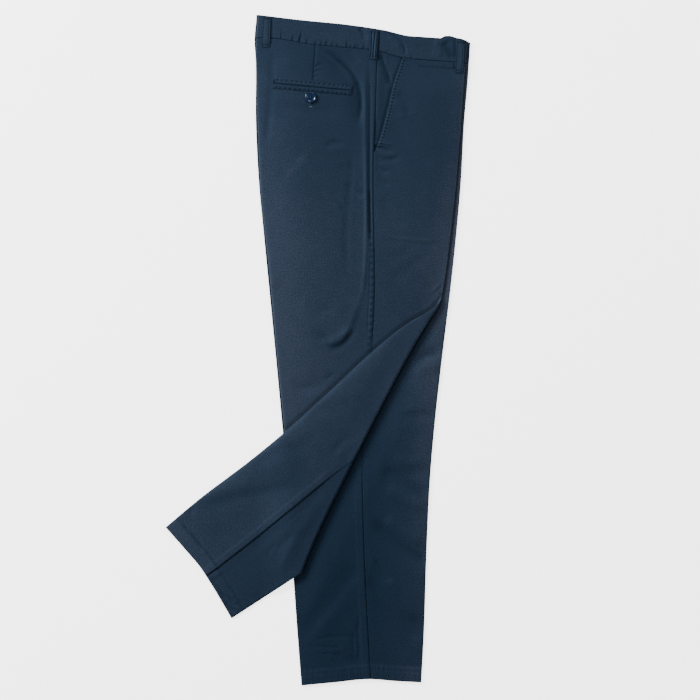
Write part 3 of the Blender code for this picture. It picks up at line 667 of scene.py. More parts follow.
def pocket_mouth(x, y):
    """Distance from the pocket's edge, its puckers from -1 to 1, and 1 above its foot and 0 below."""
    mouth = x - curve(POCKET_MOUTH, y)
    return mouth, rungs(y + MOUTH_LEAN * mouth, MOUTH_PITCH), eased((y - MOUTH_FOOT) / 4)


def thigh_relief(x, y):
    """Creases, side seam, dart, waist seam and pocket sewing on the upper side of the right hip."""
    side = LINES["side seam"](right, x, y)
    mouth, puckers, at_mouth = pocket_mouth(x, y)
    height = CREASE_DEPTH * creases(THIGH_CREASES, x, y) + seam_relief(side, 1.0, 0.0)
    height = height + 0.6 * rungs(y, TICK_PITCH) * bump(side + 4.0, 3.0) * ticked(y)
    height = height + 0.5 * puckers * bump(mouth - 4.4, 3.0) * at_mouth + hills(THIGH_HILLS, right, x, y)
    cushion = swell(right, x, y, 3.4, 50.0, 62.0) * eased(LINES["waist seam"](right, x, y) / 60.0)
    above = eased(-beyond_fold(x, y) / 40.0)
    cushion = cushion * (0.68 * above + 0.32 * bare_thigh(x, y, 80.0))
    return settled(height * crease_fade(right, x, y) * bare_thigh(x, y, 16.0) + cushion)


def folded_relief(x, y):
    """Creases, inseam and hem on the side of the right leg that the fold turns up."""
    seen = place_right(x, y, -HALF + 0.0 * x)
    inseam = LINES["inseam"](right, x, y)
    height = CREASE_DEPTH * creases(FOLDED_CREASES, seen[..., 0], seen[..., 1])
    height = height + seam_relief(inseam, 0.4, 1.6) + hem_relief(right, x, y)
    height = height + 1.1 * eased(inseam / 1.4) * bump(inseam, 24.0) * eased((y + 505) / 40)
    height = height + hills(FOLDED_HILLS, right, x, y)
    beyond = beyond_fold(x, y)
    cushion = swell(right, x, y, 2.0, 60.0, 40.0) * eased((beyond - 8) / 60)
    cushion = cushion * (0.35 + 0.65 * eased(LINES["hem"](right, x, y) / 120.0))
    return settled(height * crease_fade(right, x, y) * eased((beyond - 12) / 30) + cushion)


def lower_relief(x, y):
    """Creases, inseam and hem on the upper side of the left leg, where it lies bare."""
    height = CREASE_DEPTH * creases(LOWER_CREASES, x, y) + hem_relief(left, x, y)
    height = height + seam_relief(LINES["inseam"](left, x, y), 1.2, 0.2)
    beyond = beyond_fold(x, y)
    cushion = swell(left, x, y, 2.6, 50.0, 50.0) * eased((beyond - 6) / 40)
    cushion = cushion * (0.35 + 0.65 * eased(LINES["hem"](left, x, y) / 140.0))
    groove = 0.8 * bump(lower_gap(x, y) - 1.0, 4.0)
    return settled(height * crease_fade(left, x, y) * eased((beyond - 8) / 22) + cushion - groove)


print("sewing of the pocket mouth:", MOUTH_STITCH, "mm from its edge")

# %% [markdown]
# ## The side that lies on the table
#
# The outer side of the left leg is the mirror image of the hip above it: side seam, slant pocket, dart,
# back pocket, hem and a few creases. It is pressed flat by its own weight, and its lines only lift it off
# the table, like the veins under a leaf.

# %% Relief of the underside
UNDER_CREASES = (
    (-0.8, 4.0, 10.0, ((-14, 486), (22, 466), (50, 436), (58, 396), (50, 350), (40, 306))),
    (-0.6, 3.0, 7.0, ((66, 300), (60, 236), (52, 160), (56, 96))),
    (-0.5, 3.0, 8.0, ((104, 322), (126, 306), (160, 300), (196, 306))),
    (-0.6, 6.0, 10.0, ((118, 224), (150, 196), (190, 184))),
    (-0.7, 4.0, 9.0, ((48, 56), (24, 30), (-8, 22), (-34, 30))),
    (-0.5, 3.0, 6.0, ((100, 20), (130, -2), (160, -10))),
    (-0.8, 5.0, 12.0, ((96, -86), (134, -110), (184, -118))),
    (-0.5, 4.0, 8.0, ((-6, -96), (26, -124), (58, -130))),
    (-0.7, 5.0, 11.0, ((92, -206), (120, -240), (168, -262))),
    (-0.6, 4.0, 9.0, ((4, -268), (34, -300), (64, -310))),
    (-0.6, 5.0, 10.0, ((94, -356), (126, -392), (162, -406))),
    (-0.4, 3.0, 6.0, ((8, -420), (36, -452), (66, -458))),
    (-0.6, 1.4, 1.4, ((-72, 436), (54, 424.7))),
    (-0.3, 1.2, 1.2, ((-71, 444), (55, 432.5))),
    (-0.3, 1.2, 1.2, ((-73, 428), (53, 416.6))),
)
UNDER_HILLS = (
    ("side seam", 0.8, 0.0, 1.6),
    ("pocket mouth", 0.5, 0.0, 1.4, MOUTH_FOOT, 4),
    ("pocket mouth", 0.5, MOUTH_STITCH, 1.4, MOUTH_FOOT, 4),
    ("dart", 0.6, 0.0, 1.6, DART_FOOT, 12),
    ("hem", 0.5, HEM_STITCH, 2.0),
)
UNDER_LIFT = 0.7


def under_relief(x, y):
    """Lines of depth d lift the cloth by UNDER_LIFT tanh(d / UNDER_LIFT), and the rest stays flat. The
    leg lies face down, so a lift is a negative height."""
    depth = hills(UNDER_HILLS, left, x, y) - CREASE_DEPTH * creases(UNDER_CREASES, x, y)
    return -UNDER_LIFT * np.tanh(depth / UNDER_LIFT) * crease_fade(left, x, y)


def flat_relief(x, y):
    """Cloth that lies pressed between layers, or on the table."""
    return np.zeros(np.broadcast(x, y).shape)


print(len(UNDER_CREASES), "lines on the underside")

# %% [markdown]
# ## Rows across a leg
#
# Every leg is measured in rows from the waist to the hem. A row is a straight line on the pattern, plus
# the bend of the waist seam or of the hem near the ends. The leg's lines tell where a row starts, where
# it ends, and where it crosses a seam.

# %% A leg
HALVINGS = 40  # each halves the stretch in which a crossing lies


class Leg:
    """The lines that one leg is cut by, and how it is placed. A row is y_front, y_back, waist, hem."""

    def __init__(self, front_crease, back_crease, outseam, inseam, hem, place, mouth=None):
        self.front_crease, self.back_crease = front_crease, back_crease
        self.outseam, self.inseam, self.hem = outseam, inseam, hem
        self.place, self.mouth, self.rows = place, mouth, None

    def ends(self, rows):
        """Where each row meets the two creases."""
        return curve(self.front_crease, rows[:, 0]) - HALF, curve(self.back_crease, rows[:, 1]) + HALF

    def line(self, rows, x):
        """The height of each row at x: a straight line, plus a share of the waist's and hem's bends."""
        x_front, x_back = (end[:, None] for end in self.ends(rows))
        y_front, y_back, waist, hem = (rows[:, i, None] for i in range(4))
        straight = y_front + (x_front - x) / (x_front - x_back) * (y_back - y_front)
        waist_bend = curve(WAIST_SEAM, x) - chord(WAIST_SEAM, x)
        hem_bend = curve(self.hem, x) - chord(self.hem, x)
        return straight + waist * waist_bend + hem * hem_bend

    def crossing(self, rows, seam, is_front):
        """Where each row meets a seam, found by halving the stretch between the creases."""
        front, back = self.ends(rows)
        near, far = (front, back) if is_front else (back, front)
        for _ in range(HALVINGS):
            middle = (near + far) / 2
            gap = middle - seam(self.line(rows, middle[:, None])[:, 0], is_front)
            beyond = gap < 0 if is_front else gap > 0
            near, far = np.where(beyond, near, middle), np.where(beyond, middle, far)
        return near

    def outer(self, y, is_front):
        """A panel's edge at the side seam; a front with a slant pocket ends at its mouth."""
        edge = curve(self.outseam, y)
        if is_front and self.mouth:
            edge = np.where(y > MOUTH_FOOT, np.maximum(edge, curve(self.mouth, y)), edge)
        return edge

    def inner(self, y, is_front):
        """A panel's edge at the inseam, and at the centre front or centre back above the crotch."""
        inseam = curve(self.inseam, y)
        above = (np.maximum(inseam, curve(CENTRE_FRONT, y)) if is_front
                 else np.minimum(inseam, curve(CENTRE_BACK, y)))
        return np.where(y > CROTCH_HEIGHT, above, inseam)

    def end_row(self, table, waist, hem):
        """The row along the waist seam or the hem, straight from one end of its table to the other."""
        front = chord(table, curve(self.front_crease, table[-1][1]) - HALF)
        back = chord(table, curve(self.back_crease, table[0][1]) + HALF)
        return np.array((front, back, waist, hem))

    def waist_row(self):
        """The row just below the waistband."""
        return self.end_row(WAIST_SEAM, 1.0, 0.0)

    def hem_row(self):
        """The row along the hem."""
        return self.end_row(self.hem, 0.0, 1.0)

    def fold_rows(self, distances):
        """Rows that run along the fold, at these distances past its axis."""
        y = np.linspace(-500.0, 400.0, 2000)
        front = np.interp(-distances, -beyond_fold(curve(self.front_crease, y) - HALF, y), y)
        back = np.interp(-distances, -beyond_fold(curve(self.back_crease, y) + HALF, y), y)
        return np.stack((front, back, 0 * front, 0 * front), axis=1)


right = Leg(RIGHT_FRONT_CREASE, RIGHT_BACK_CREASE, RIGHT_OUTSEAM, RIGHT_INSEAM, RIGHT_HEM, place_right,
            POCKET_MOUTH)
left = Leg(LEFT_FRONT_CREASE, LEFT_BACK_CREASE, LEFT_OUTSEAM, LEFT_INSEAM, LEFT_HEM, place_left)
print("the right leg's hem row goes from y to y:", right.hem_row()[:2].round(1))

# %% [markdown]
# The rows start along the waist seam, turn until they run along the fold, go round the roll and then
# turn again to meet the hem. The left leg isn't folded, so its rows turn straight from waist to hem.

# %% Rows of both legs
HIP_ROWS = 186  # close together, down to the foot of the pocket mouth
THIGH_ROWS = 150
HIP_SHARE = 0.29  # of the rows' way from the waist to the fold
ROLL_ROWS = 22
FOLDED_ROWS = 118
LEFT_ROWS = 330


def rows_between(first, last, t, front_power=1.0, back_power=1.0):
    """Rows that turn from first into last as t goes from 0 to 1."""
    y_front = first[0] + (last[0] - first[0]) * (1 - (1 - t) ** front_power)
    y_back = first[1] + (last[1] - first[1]) * t**back_power
    return np.stack((y_front, y_back, first[2] * (1 - t) ** 3, last[3] * t**6), axis=1)


roll_rows = right.fold_rows(np.linspace(0.0, pi * ROLL, ROLL_ROWS))
thigh_t = np.concatenate((np.linspace(0, HIP_SHARE, HIP_ROWS), np.linspace(HIP_SHARE, 1, THIGH_ROWS)[1:-1]))
thigh_rows = rows_between(right.waist_row(), roll_rows[0], thigh_t, 1.3, 1.25)
folded_t = 1 - (1 - np.linspace(0, 1, FOLDED_ROWS)[1:]) ** 1.2
folded_rows = rows_between(roll_rows[-1], right.hem_row(), folded_t)
right.rows = np.concatenate((thigh_rows, roll_rows, folded_rows))

left_t = 1 - (1 - np.linspace(0, 1, LEFT_ROWS)) ** 1.35
left.rows = rows_between(left.waist_row(), left.hem_row(), left_t)
print(len(right.rows), "rows on the right leg,", len(left.rows), "on the left")

# %% [markdown]
# ## A panel as a surface
#
# A panel is a function of two parameters: the row, and the share of the way from the side seam over the
# crease to the inseam. The way has three stretches: the outer wall, half a turn of radius HALF at the
# crease, and the inner wall. The cloth's own length along each row becomes the UV map, so the weave
# follows the cloth and doesn't stretch.

# %% Panel surfaces
TURN_COLUMNS = 8
turn_angle = np.linspace(0.0, pi, TURN_COLUMNS + 2)[1:-1]


def spread(count, dense):
    """Shares from 0 to 1, closer together near the given places. Each row of dense is a place, a reach
    and how many times denser it is; the shares are even steps of the summed density."""
    share = np.linspace(0, 1, 3001)
    density = np.ones(len(share)) + sum(times * bump(share - place, reach) for place, reach, times in dense)
    total = np.concatenate(([0.0], np.cumsum((density[1:] + density[:-1]) / 2)))
    return np.interp(np.linspace(0, total[-1], count), total, share)


BY_SEAM = ((0.0, 0.12, 4.0),)
BY_SEAM_AND_DART = ((0.0, 0.10, 3.5), (0.523, 0.022, 4.0), (1.0, 0.04, 2.0))
BY_INSEAM = ((1.0, 0.10, 3.0),)


def panel_columns(leg, is_front, outer_shares, inner_shares):
    """x, the side of the tube (1 outer, -1 inner) and x for the row's height, for each row and column."""
    crease_x = leg.ends(leg.rows)[0 if is_front else 1][:, None]
    outer_seam = leg.crossing(leg.rows, leg.outer, is_front)[:, None]
    inner_seam = leg.crossing(leg.rows, leg.inner, is_front)[:, None]
    outer = outer_seam + (crease_x - outer_seam) * outer_shares
    inner = crease_x + (inner_seam - crease_x) * inner_shares
    bend = crease_x + (1 if is_front else -1) * HALF * np.sin(turn_angle)
    x = np.concatenate((outer, bend, inner), axis=1)
    held = np.concatenate((outer, crease_x + 0 * bend, inner), axis=1)
    side = np.concatenate((0 * outer + 1, np.cos(turn_angle) + 0 * bend, 0 * inner - 1), axis=1)
    return x, side, held


def cloth_lengths(points):
    """The length along each row of points, from its first column."""
    across = np.linalg.norm(np.diff(points, axis=1), axis=2)
    return np.concatenate((np.zeros((len(points), 1)), np.cumsum(across, axis=1)), axis=1)


def grid_area(u, v):
    """The area of a flat grid: the sum of all its cells' cross products."""
    down_u, down_v = (value[1:, :-1] - value[:-1, :-1] for value in (u, v))
    over_u, over_v = (value[:-1, 1:] - value[:-1, :-1] for value in (u, v))
    return float(np.abs(down_u * over_v - down_v * over_u).sum())


def opened_out(leg, is_front, x, y, side):
    """How far across the cut piece a point lies once the crease is opened: the inner wall is mirrored
    at the crease, and the turn is as long as half a circle of radius HALF. All pieces are cut with the
    same face of the cloth up, so the twill leans the same way on each, seen from outside."""
    crease_x = curve(leg.front_crease, y) - HALF if is_front else curve(leg.back_crease, y) + HALF
    turn = HALF * np.arccos(np.clip(side, -1.0, 1.0)) * (1 if is_front else -1)
    way = np.where(side == 1, x, np.where(side == -1, 2 * crease_x - x, crease_x))
    return (way + turn) * (1 if leg is right else -1)


def panel_surface(leg, is_front, outer_shares, inner_shares, outer_relief, inner_relief):
    """Points and UV of a panel in mm, and x, y and side of the tube for each point."""
    x, side, held = panel_columns(leg, is_front, outer_shares, inner_shares)
    y = leg.line(leg.rows, held)
    relief = np.where(side == 1, outer_relief(held, y), 0.0)
    relief = np.where(side == -1, inner_relief(held, y), relief)
    points = leg.place(x, y, HALF * side + relief * np.sign(side))
    uv = np.stack((opened_out(leg, is_front, x, y, side), y), axis=-1)
    return points, uv, held, y, side


print("shares beside a seam:", spread(6, BY_SEAM).round(2))

# %% [markdown]
# ## From a grid to a mesh
#
# A grid of points becomes quads between neighbouring rows and columns. `foreach_set` copies whole arrays
# into the mesh, which is much quicker than a loop.

# %% Mesh helpers
shop = bpy.data.collections.new("chino_trousers")
scene.collection.children.link(shop)


def grid_quads(rows, columns, closed=False):
    """Corner numbers of the quads of a grid; closed also joins the last column to the first."""
    index = np.arange(rows * columns).reshape(rows, columns)
    if closed:
        index = np.concatenate((index, index[:, :1]), axis=1)
    corners = (index[:-1, :-1], index[1:, :-1], index[1:, 1:], index[:-1, 1:])
    return np.stack(corners, axis=-1).reshape(-1, 4).tolist()


def new_mesh(name, points, faces, material, uv=None, **values):
    """A smooth object of these points (metres) and faces, with its UV map (mm) and attributes."""
    mesh = bpy.data.meshes.new(name)
    mesh.from_pydata(points.reshape(-1, 3).tolist(), [], faces)
    if uv is not None:
        layer = mesh.uv_layers.new(name="weave")
        corner = np.zeros(len(mesh.loops), np.int32)
        mesh.loops.foreach_get("vertex_index", corner)
        layer.data.foreach_set("uv", (uv.reshape(-1, 2)[corner] * MM).astype(np.float32).ravel())
    for key, value in values.items():
        attribute = mesh.attributes.new(key, "FLOAT", "POINT")
        attribute.data.foreach_set("value", value.astype(np.float32).ravel())
    mesh.shade_smooth()
    mesh.materials.append(material)
    return new_object(name, mesh, shop)


def facing(points, faces, cell, up):
    """The faces, all turned over if the one numbered cell looks down where up is 1, or up where it is -1."""
    a, b, _, d = points.reshape(-1, 3)[faces[cell]]
    return faces if up * np.cross(b - a, d - a)[2] > 0 else [face[::-1] for face in faces]


def stand_for(item, node):
    """The piece belongs to the part's one body and takes the place of its solid, which is hidden."""
    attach(item, "root")
    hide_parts(node)


def cloth_skin(name, node, points, cell, up, uv, wall, material, sheet, **values):
    """A skin on a grid of points, thickened inwards from the face that shows. Its cut is noted."""
    placed = to_frame(points)
    faces = facing(placed, grid_quads(*placed.shape[:2]), cell, up)
    item = new_mesh(name, placed, faces, material, uv, **values)
    cloth = item.modifiers.new("Cloth", "SOLIDIFY")
    cloth.thickness = wall * MM
    cloth.offset = -1.0
    cloth.use_even_offset = False
    stand_for(item, node)
    print(f"{name}: {len(faces)} quads, cut {sheet[0][0]:.0f} by {sheet[0][1]:.0f} mm")


print("a grid of 3 by 4 points has", len(grid_quads(3, 4)), "quads")

# %% [markdown]
# ## Shader groups
#
# Three groups of shader nodes make the cloth: its weave, the painted shadow under an edge, and its uneven
# dye with painted light and shade. The helpers below add a node, set it and feed its sockets with links or
# with plain values.

# %% Node helpers
FLOAT, VECTOR, COLOUR = "NodeSocketFloat", "NodeSocketVector", "NodeSocketColor"


def new_group(name, inputs, outputs):
    """A shader node group with named sockets. Returns it, what it is given and what it puts out."""
    group = bpy.data.node_groups.new(name, "ShaderNodeTree")
    for label, kind, default in inputs:
        socket = group.interface.new_socket(name=label, in_out="INPUT", socket_type=kind)
        if default is not None:
            socket.default_value = default
    for label, kind in outputs:
        group.interface.new_socket(name=label, in_out="OUTPUT", socket_type=kind)
    return group, group.nodes.new("NodeGroupInput").outputs, group.nodes.new("NodeGroupOutput").inputs


def add(tree, kind, feeds, **settings):
    """A new shader node: its settings, and links or values for its sockets. Returns its outputs."""
    node = tree.nodes.new("ShaderNode" + kind)
    for key, value in settings.items():
        setattr(node, key, value)
    for label, value in feeds.items():
        if isinstance(value, bpy.types.NodeSocket):
            tree.links.new(value, node.inputs[label])
        else:
            node.inputs[label].default_value = value
    return node.outputs


def maths(tree, operation, *values, clamp=False):
    """What a Math node puts out."""
    return add(tree, "Math", dict(enumerate(values)), operation=operation, use_clamp=clamp)[0]


def mixed(tree, share, first, second, blend="MIX"):
    """A colour mix: first where share is 0 and second where it is 1. 6, 7 and 2 are its colour sockets."""
    return add(tree, "Mix", {0: share, 6: first, 7: second}, data_type="RGBA", blend_type=blend)[2]


def noise(tree, vector, scale, detail=2.0, roughness=0.5):
    """Noise between 0 and 1 on a vector."""
    feeds = {"Vector": vector, "Scale": scale, "Detail": detail, "Roughness": roughness}
    return add(tree, "TexNoise", feeds)["Fac"]


def attribute(tree, name):
    """A value that the mesh holds for each point."""
    return add(tree, "Attribute", {}, attribute_name=name)["Fac"]


def weave_map(tree):
    """The UV map, which runs along the yarns in metres."""
    return add(tree, "UVMap", {}, uv_map="weave")[0]


def raise_surface(tree, shader, height, strength, distance):
    """Feeds the shader's normal with a bump of this height; the distance is in metres."""
    raised = add(tree, "Bump", {"Strength": strength, "Distance": distance, "Height": height})
    tree.links.new(raised[0], shader.inputs["Normal"])


print("sockets:", FLOAT, VECTOR, COLOUR)

# %% [markdown]
# Twill is woven so that each weft float steps one yarn aside, which draws fine diagonal lines. The first
# group works that out from the UV map: a wave across the diagonal for the wales, and a second wave along
# them for the single floats.

# %% Twill weave
TWILL_PITCH = 0.62  # mm between two wales
YARN_NOISE = 900.0  # noise scales are turns in a metre, so this one is about a millimetre wide


def twill_group():
    """Height = 0.5 + 0.35 sin(2 pi (u + v) / pitch) + 0.15 sin(2 pi (u - 0.5 v) / pitch), with u and v
    in metres and a little noise in the phase, because yarns are never quite even."""
    group, given, made = new_group(
        "twill_weave",
        [("Cloth", VECTOR, None), ("Pitch", FLOAT, TWILL_PITCH * MM), ("Unevenness", FLOAT, 0.6)],
        [("Height", FLOAT), ("Wale", FLOAT)])
    u, v, _ = add(group, "SeparateXYZ", {0: given["Cloth"]})
    turns = maths(group, "DIVIDE", 2 * pi, given["Pitch"])
    wander = maths(group, "MULTIPLY", noise(group, given["Cloth"], YARN_NOISE), given["Unevenness"])
    wander = maths(group, "MULTIPLY", wander, 2 * pi)
    diagonal = maths(group, "MULTIPLY", maths(group, "ADD", u, v), turns)
    wale = maths(group, "SINE", maths(group, "ADD", diagonal, wander))
    steps = maths(group, "SUBTRACT", u, maths(group, "MULTIPLY", v, 0.5))
    floats = maths(group, "SINE", maths(group, "ADD", maths(group, "MULTIPLY", steps, turns), wander))
    height = maths(group, "MULTIPLY_ADD", floats, 0.15, maths(group, "MULTIPLY_ADD", wale, 0.35, 0.5))
    group.links.new(height, made["Height"])
    group.links.new(maths(group, "MULTIPLY_ADD", wale, 0.5, 0.5), made["Wale"])
    return group


TWILL = twill_group()
print("wales", TWILL_PITCH, "mm apart")

# %% [markdown]
# The second group gives the painted shadow under an edge, from the distance that each point holds. The dye
# group mixes three shades of one colour. The wear-and-shading share comes from the mesh: it is high along
# creases and edges, partly from wear in washing and pressing and partly as painted highlight, and low where
# shade is painted into seams and troughs. Noise of three sizes breaks it up, from blotches as wide as a hand
# down to single yarns.

# %% Uneven dye, wear and painted shade
# the colour of the painted shadow under an edge
NEARLY_BLACK = (0.0002, 0.0004, 0.0010, 1.0)
BLOTCH_NOISE = (11.0, 55.0)  # blotches about 90 mm and 18 mm wide
FLECK_NOISE = 440.0  # about 2 mm


def gap_group():
    """Near, the strength of the painted shadow, is 1 under the edge of the layer above and falls as
    (1 - gap / reach) squared to 0.
    """
    group, given, made = new_group(
        "close_to_edge",
        [("Gap", FLOAT, NO_GAP), ("Reach", FLOAT, 6.0), ("Depth", FLOAT, 1.0)],
        [("Near", FLOAT)])
    share = maths(group, "DIVIDE", given["Gap"], given["Reach"])
    near = maths(group, "SUBTRACT", 1.0, maths(group, "MAXIMUM", share, 0.0), clamp=True)
    dark = maths(group, "MULTIPLY", maths(group, "MULTIPLY", near, near), given["Depth"])
    group.links.new(dark, made["Near"])
    return group


def dye_and_shading_group():
    """Tone = wear and shading + blotches + flecks + a little of the wale. From 0 to 0.5 it mixes deep to
    middle, and from 0.5 to 1 middle to the pale colour of wear and painted highlight. The flecks also darken
    and lighten the colour by Grain, and Shade, the painted shadow under an edge, mixes it to nearly black."""
    group, given, made = new_group(
        "uneven_dye_and_shading",
        [("Cloth", VECTOR, None), ("Wear_and_shading", FLOAT, 0.3), ("Shade", FLOAT, 0.0), ("Wale", FLOAT, 0.5),
         ("Deep", COLOUR, None), ("Middle", COLOUR, None), ("Pale_worn_and_lit", COLOUR, None),
         ("Blotch", FLOAT, 0.1), ("Yarn", FLOAT, 0.3), ("Grain", FLOAT, 1.1)],
        [("Color", COLOUR)])
    broad, middle = (maths(group, "SUBTRACT", noise(group, given["Cloth"], scale, 3.0), 0.5)
                     for scale in BLOTCH_NOISE)
    yarn = maths(group, "SUBTRACT", noise(group, given["Cloth"], FLECK_NOISE, 2.0, 0.7), 0.5)
    blotch = maths(group, "MULTIPLY", maths(group, "ADD", broad, middle), given["Blotch"])
    fine = maths(group, "MULTIPLY", yarn, given["Yarn"])
    shade = maths(group, "ADD", maths(group, "ADD", given["Wear_and_shading"], blotch), fine)
    shade = maths(group, "ADD", shade, maths(group, "MULTIPLY_ADD", given["Wale"], 0.08, -0.04))
    low = maths(group, "MULTIPLY", shade, 2.0, clamp=True)
    high = maths(group, "MULTIPLY_ADD", shade, 2.0, -1.0, clamp=True)
    colour = mixed(group, low, given["Deep"], given["Middle"])
    colour = mixed(group, high, colour, given["Pale_worn_and_lit"])
    grain = maths(group, "MULTIPLY_ADD", yarn, given["Grain"], 1.0)
    colour = mixed(group, 1.0, colour, grain, "MULTIPLY")
    group.links.new(mixed(group, given["Shade"], colour, NEARLY_BLACK), made["Color"])
    return group


GAP, DYE_AND_SHADING = gap_group(), dye_and_shading_group()
print(len(bpy.data.node_groups), "shader groups")

# %% [markdown]
# ## Twill cloth
#
# Cotton twill is matt, with a soft sheen where the fibres are seen from the side. The sheen and the low
# gloss are plain numbers on the shader; weave, dye, wear and painted light and shade come from the groups.

# %% Cloth materials
# The pale tone stands both for wear and for painted highlights, and the deep one also for painted shade.
DEEP = (0.0012, 0.0068, 0.0166, 1.0)
MIDDLE = (0.0072, 0.0140, 0.0278, 1.0)
PALE_WORN_AND_LIT = (0.0350, 0.0412, 0.0620, 1.0)
COTTON = {
    "Roughness": 0.72, "Specular IOR Level": 0.14, "Specular Tint": (0.55, 0.78, 1.0, 1.0),
    "Sheen Weight": 0.07, "Sheen Roughness": 0.45, "Sheen Tint": (0.50, 0.76, 1.0, 1.0),
}
WEAVE_DEPTH = 0.00007  # metres
RUMPLE_NOISE = 42.0
RUMPLE_TIMES = 4.0  # the rumples are this much deeper than the weave


def cloth_material(name, near=None, grain=1.1):
    """Cotton with the weave in its bump, and the dye with painted light and shade in its colour. near holds
    the reach in mm and the depth of the painted shadow under an edge."""
    material, tree, shader = new_material(name, COTTON)
    cloth = weave_map(tree)
    weave = add(tree, "Group", {"Cloth": cloth}, node_tree=TWILL)
    feeds = {"Cloth": cloth, "Wear_and_shading": attribute(tree, "rub"), "Wale": weave["Wale"], "Grain": grain,
             "Deep": DEEP, "Middle": MIDDLE, "Pale_worn_and_lit": PALE_WORN_AND_LIT}
    if near:
        edge = {"Gap": attribute(tree, "gap"), "Reach": near[0], "Depth": near[1]}
        feeds["Shade"] = add(tree, "Group", edge, node_tree=GAP)["Near"]
    tree.links.new(add(tree, "Group", feeds, node_tree=DYE_AND_SHADING)["Color"], shader.inputs["Base Color"])
    rumple = noise(tree, cloth, RUMPLE_NOISE, 3.0, 0.55)
    height = maths(tree, "MULTIPLY_ADD", rumple, RUMPLE_TIMES, weave["Height"])
    raise_surface(tree, shader, height, 1.0, WEAVE_DEPTH)
    return material


# each leg gets a painted shadow beside the edge of the layer above it: reach in mm and depth
RIGHT_TWILL = cloth_material("navy_twill_right_leg", near=(2.6, 0.4))
LEFT_TWILL = cloth_material("navy_twill_left_leg", near=(7.0, 1.0), grain=1.6)
BAND_TWILL = cloth_material("navy_twill_waistband")
TRIM_TWILL = cloth_material("navy_twill_loops_and_welts")
POCKET_TWILL = cloth_material("navy_twill_pocket")
print("five cloths of the same navy, the left leg's with a coarser grain")

# %% [markdown]
# ## Where the cloth is worn, and where light and shade are painted
#
# The share of wear and shading is worked out for every point. The tables below add single places along
# short lines, as the tables of creases do: the positive rows are pale streaks of wear and painted
# highlights on ridges, and the negative rows are painted shade in troughs and hollows.

# %% Rubbed and shaded places
THIGH_WEAR_AND_SHADING = (  # share added, width left and right of the line, corners
    (0.07, 4.5, 4.5, ((-58, 282), (-14, 326))),
    (0.08, 1.8, 1.8, ((-61, 274), (-12, 320))),
    (0.06, 1.8, 1.8, ((-46, 300), (2, 340))),
    (0.10, 1.6, 1.6, ((52, 266), (72, 246))),
    (-0.09, 8.0, 16.0, ((10, 498), (44, 462), (66, 430), (66, 370), (58, 330))),
    (-0.26, 2.6, 2.6, ((4, 497), (30, 478), (51, 460), (64, 440), (70, 416), (70, 390), (62, 362))),
    (0.10, 2.4, 2.4, ((10, 488), (35, 468), (53, 448), (60, 428))),
    (-0.13, 24.0, 24.0, ((-66, 482), (-20, 476), (20, 474), (46, 468))),
    (-0.08, 14.0, 14.0, ((6, 478), (30, 450), (50, 420), (56, 380))),
    (0.12, 2.0, 2.0, ((76.5, 470), (77, 330), (78, 180), (75, 110))),
    (-0.14, 2.0, 2.0, ((85, 490), (85.5, 410), (85, 328), (85, 238), (87, 180))),
    (-0.16, 1.8, 1.8, ((85, 268), (85, 238), (86, 200), (87, 180))),
    (-0.10, 1.6, 1.6, ((87, 190), (85, 110), (83, 60), (82, 4))),
    (-0.26, 4.0, 2.0, ((49, 26), (42, 16), (28, 8), (12, 12))),
    (-0.16, 3.0, 1.6, ((64, 70), (60, 52), (54, 40))),
    (-0.10, 6.0, 6.0, ((-4, 30), (6, 26), (12, 20))),
    (-0.14, 1.8, 1.8, ((196, 90), (203, 94))),
    (-0.30, 2.4, 1.4, ((26, -36), (20, -42), (10, -49))),
    (-0.10, 5.0, 2.4, ((-76, 496), (-75, 440), (-78, 380))),
    (-0.16, 2.0, 2.0, ((96, 330), (104, 331), (116, 328))),
    (0.07, 1.8, 1.8, ((112, 186), (150, 181), (200, 179))),
)
FOLDED_WEAR_AND_SHADING = (
    (-0.05, 26.0, 40.0, ((-110, -206), (-10, -168))),
    (0.10, 1.6, 1.6, ((-188, -366), (-166, -402), (-146, -432))),
    (-0.10, 2.2, 2.2, ((-182, -362), (-160, -398), (-140, -428))),
    (-0.06, 6.0, 10.0, ((-200, -256), (-130, -238), (-66, -224), (-20, -214))),
    (0.06, 10.0, 12.0, ((-6, -236), (20, -256))),
    (-0.07, 14.0, 10.0, ((40, -226), (10, -262), (-34, -318))),
)
LOWER_WEAR_AND_SHADING = (
    (-0.06, 24.0, 30.0, ((66, -344), (20, -432), (-18, -486))),
    (-0.06, 24.0, 24.0, ((90, -344), (130, -424), (168, -492))),
    (-0.06, 10.0, 10.0, ((104, -196), (138, -216), (186, -242))),
    (-0.06, 10.0, 12.0, ((94, -278), (136, -324), (182, -352))),
    (-0.06, 7.0, 9.0, ((206, -10), (180, -10), (156, -22))),
    (0.10, 1.0, 1.0, ((30, -482), (36, -486), (42, -480))),
)
print(len(THIGH_WEAR_AND_SHADING) + len(FOLDED_WEAR_AND_SHADING) + len(LOWER_WEAR_AND_SHADING), "rubbed or shaded places")

# %% [markdown]
# The rest runs beside the lines of the pattern. The cloth is palest along the pressed creases, partly from
# wear and partly as painted highlight, and pale on the hem, and painted shade darkens the seams. The tones
# are rows of hills too, whose rise is a share of wear and shading.

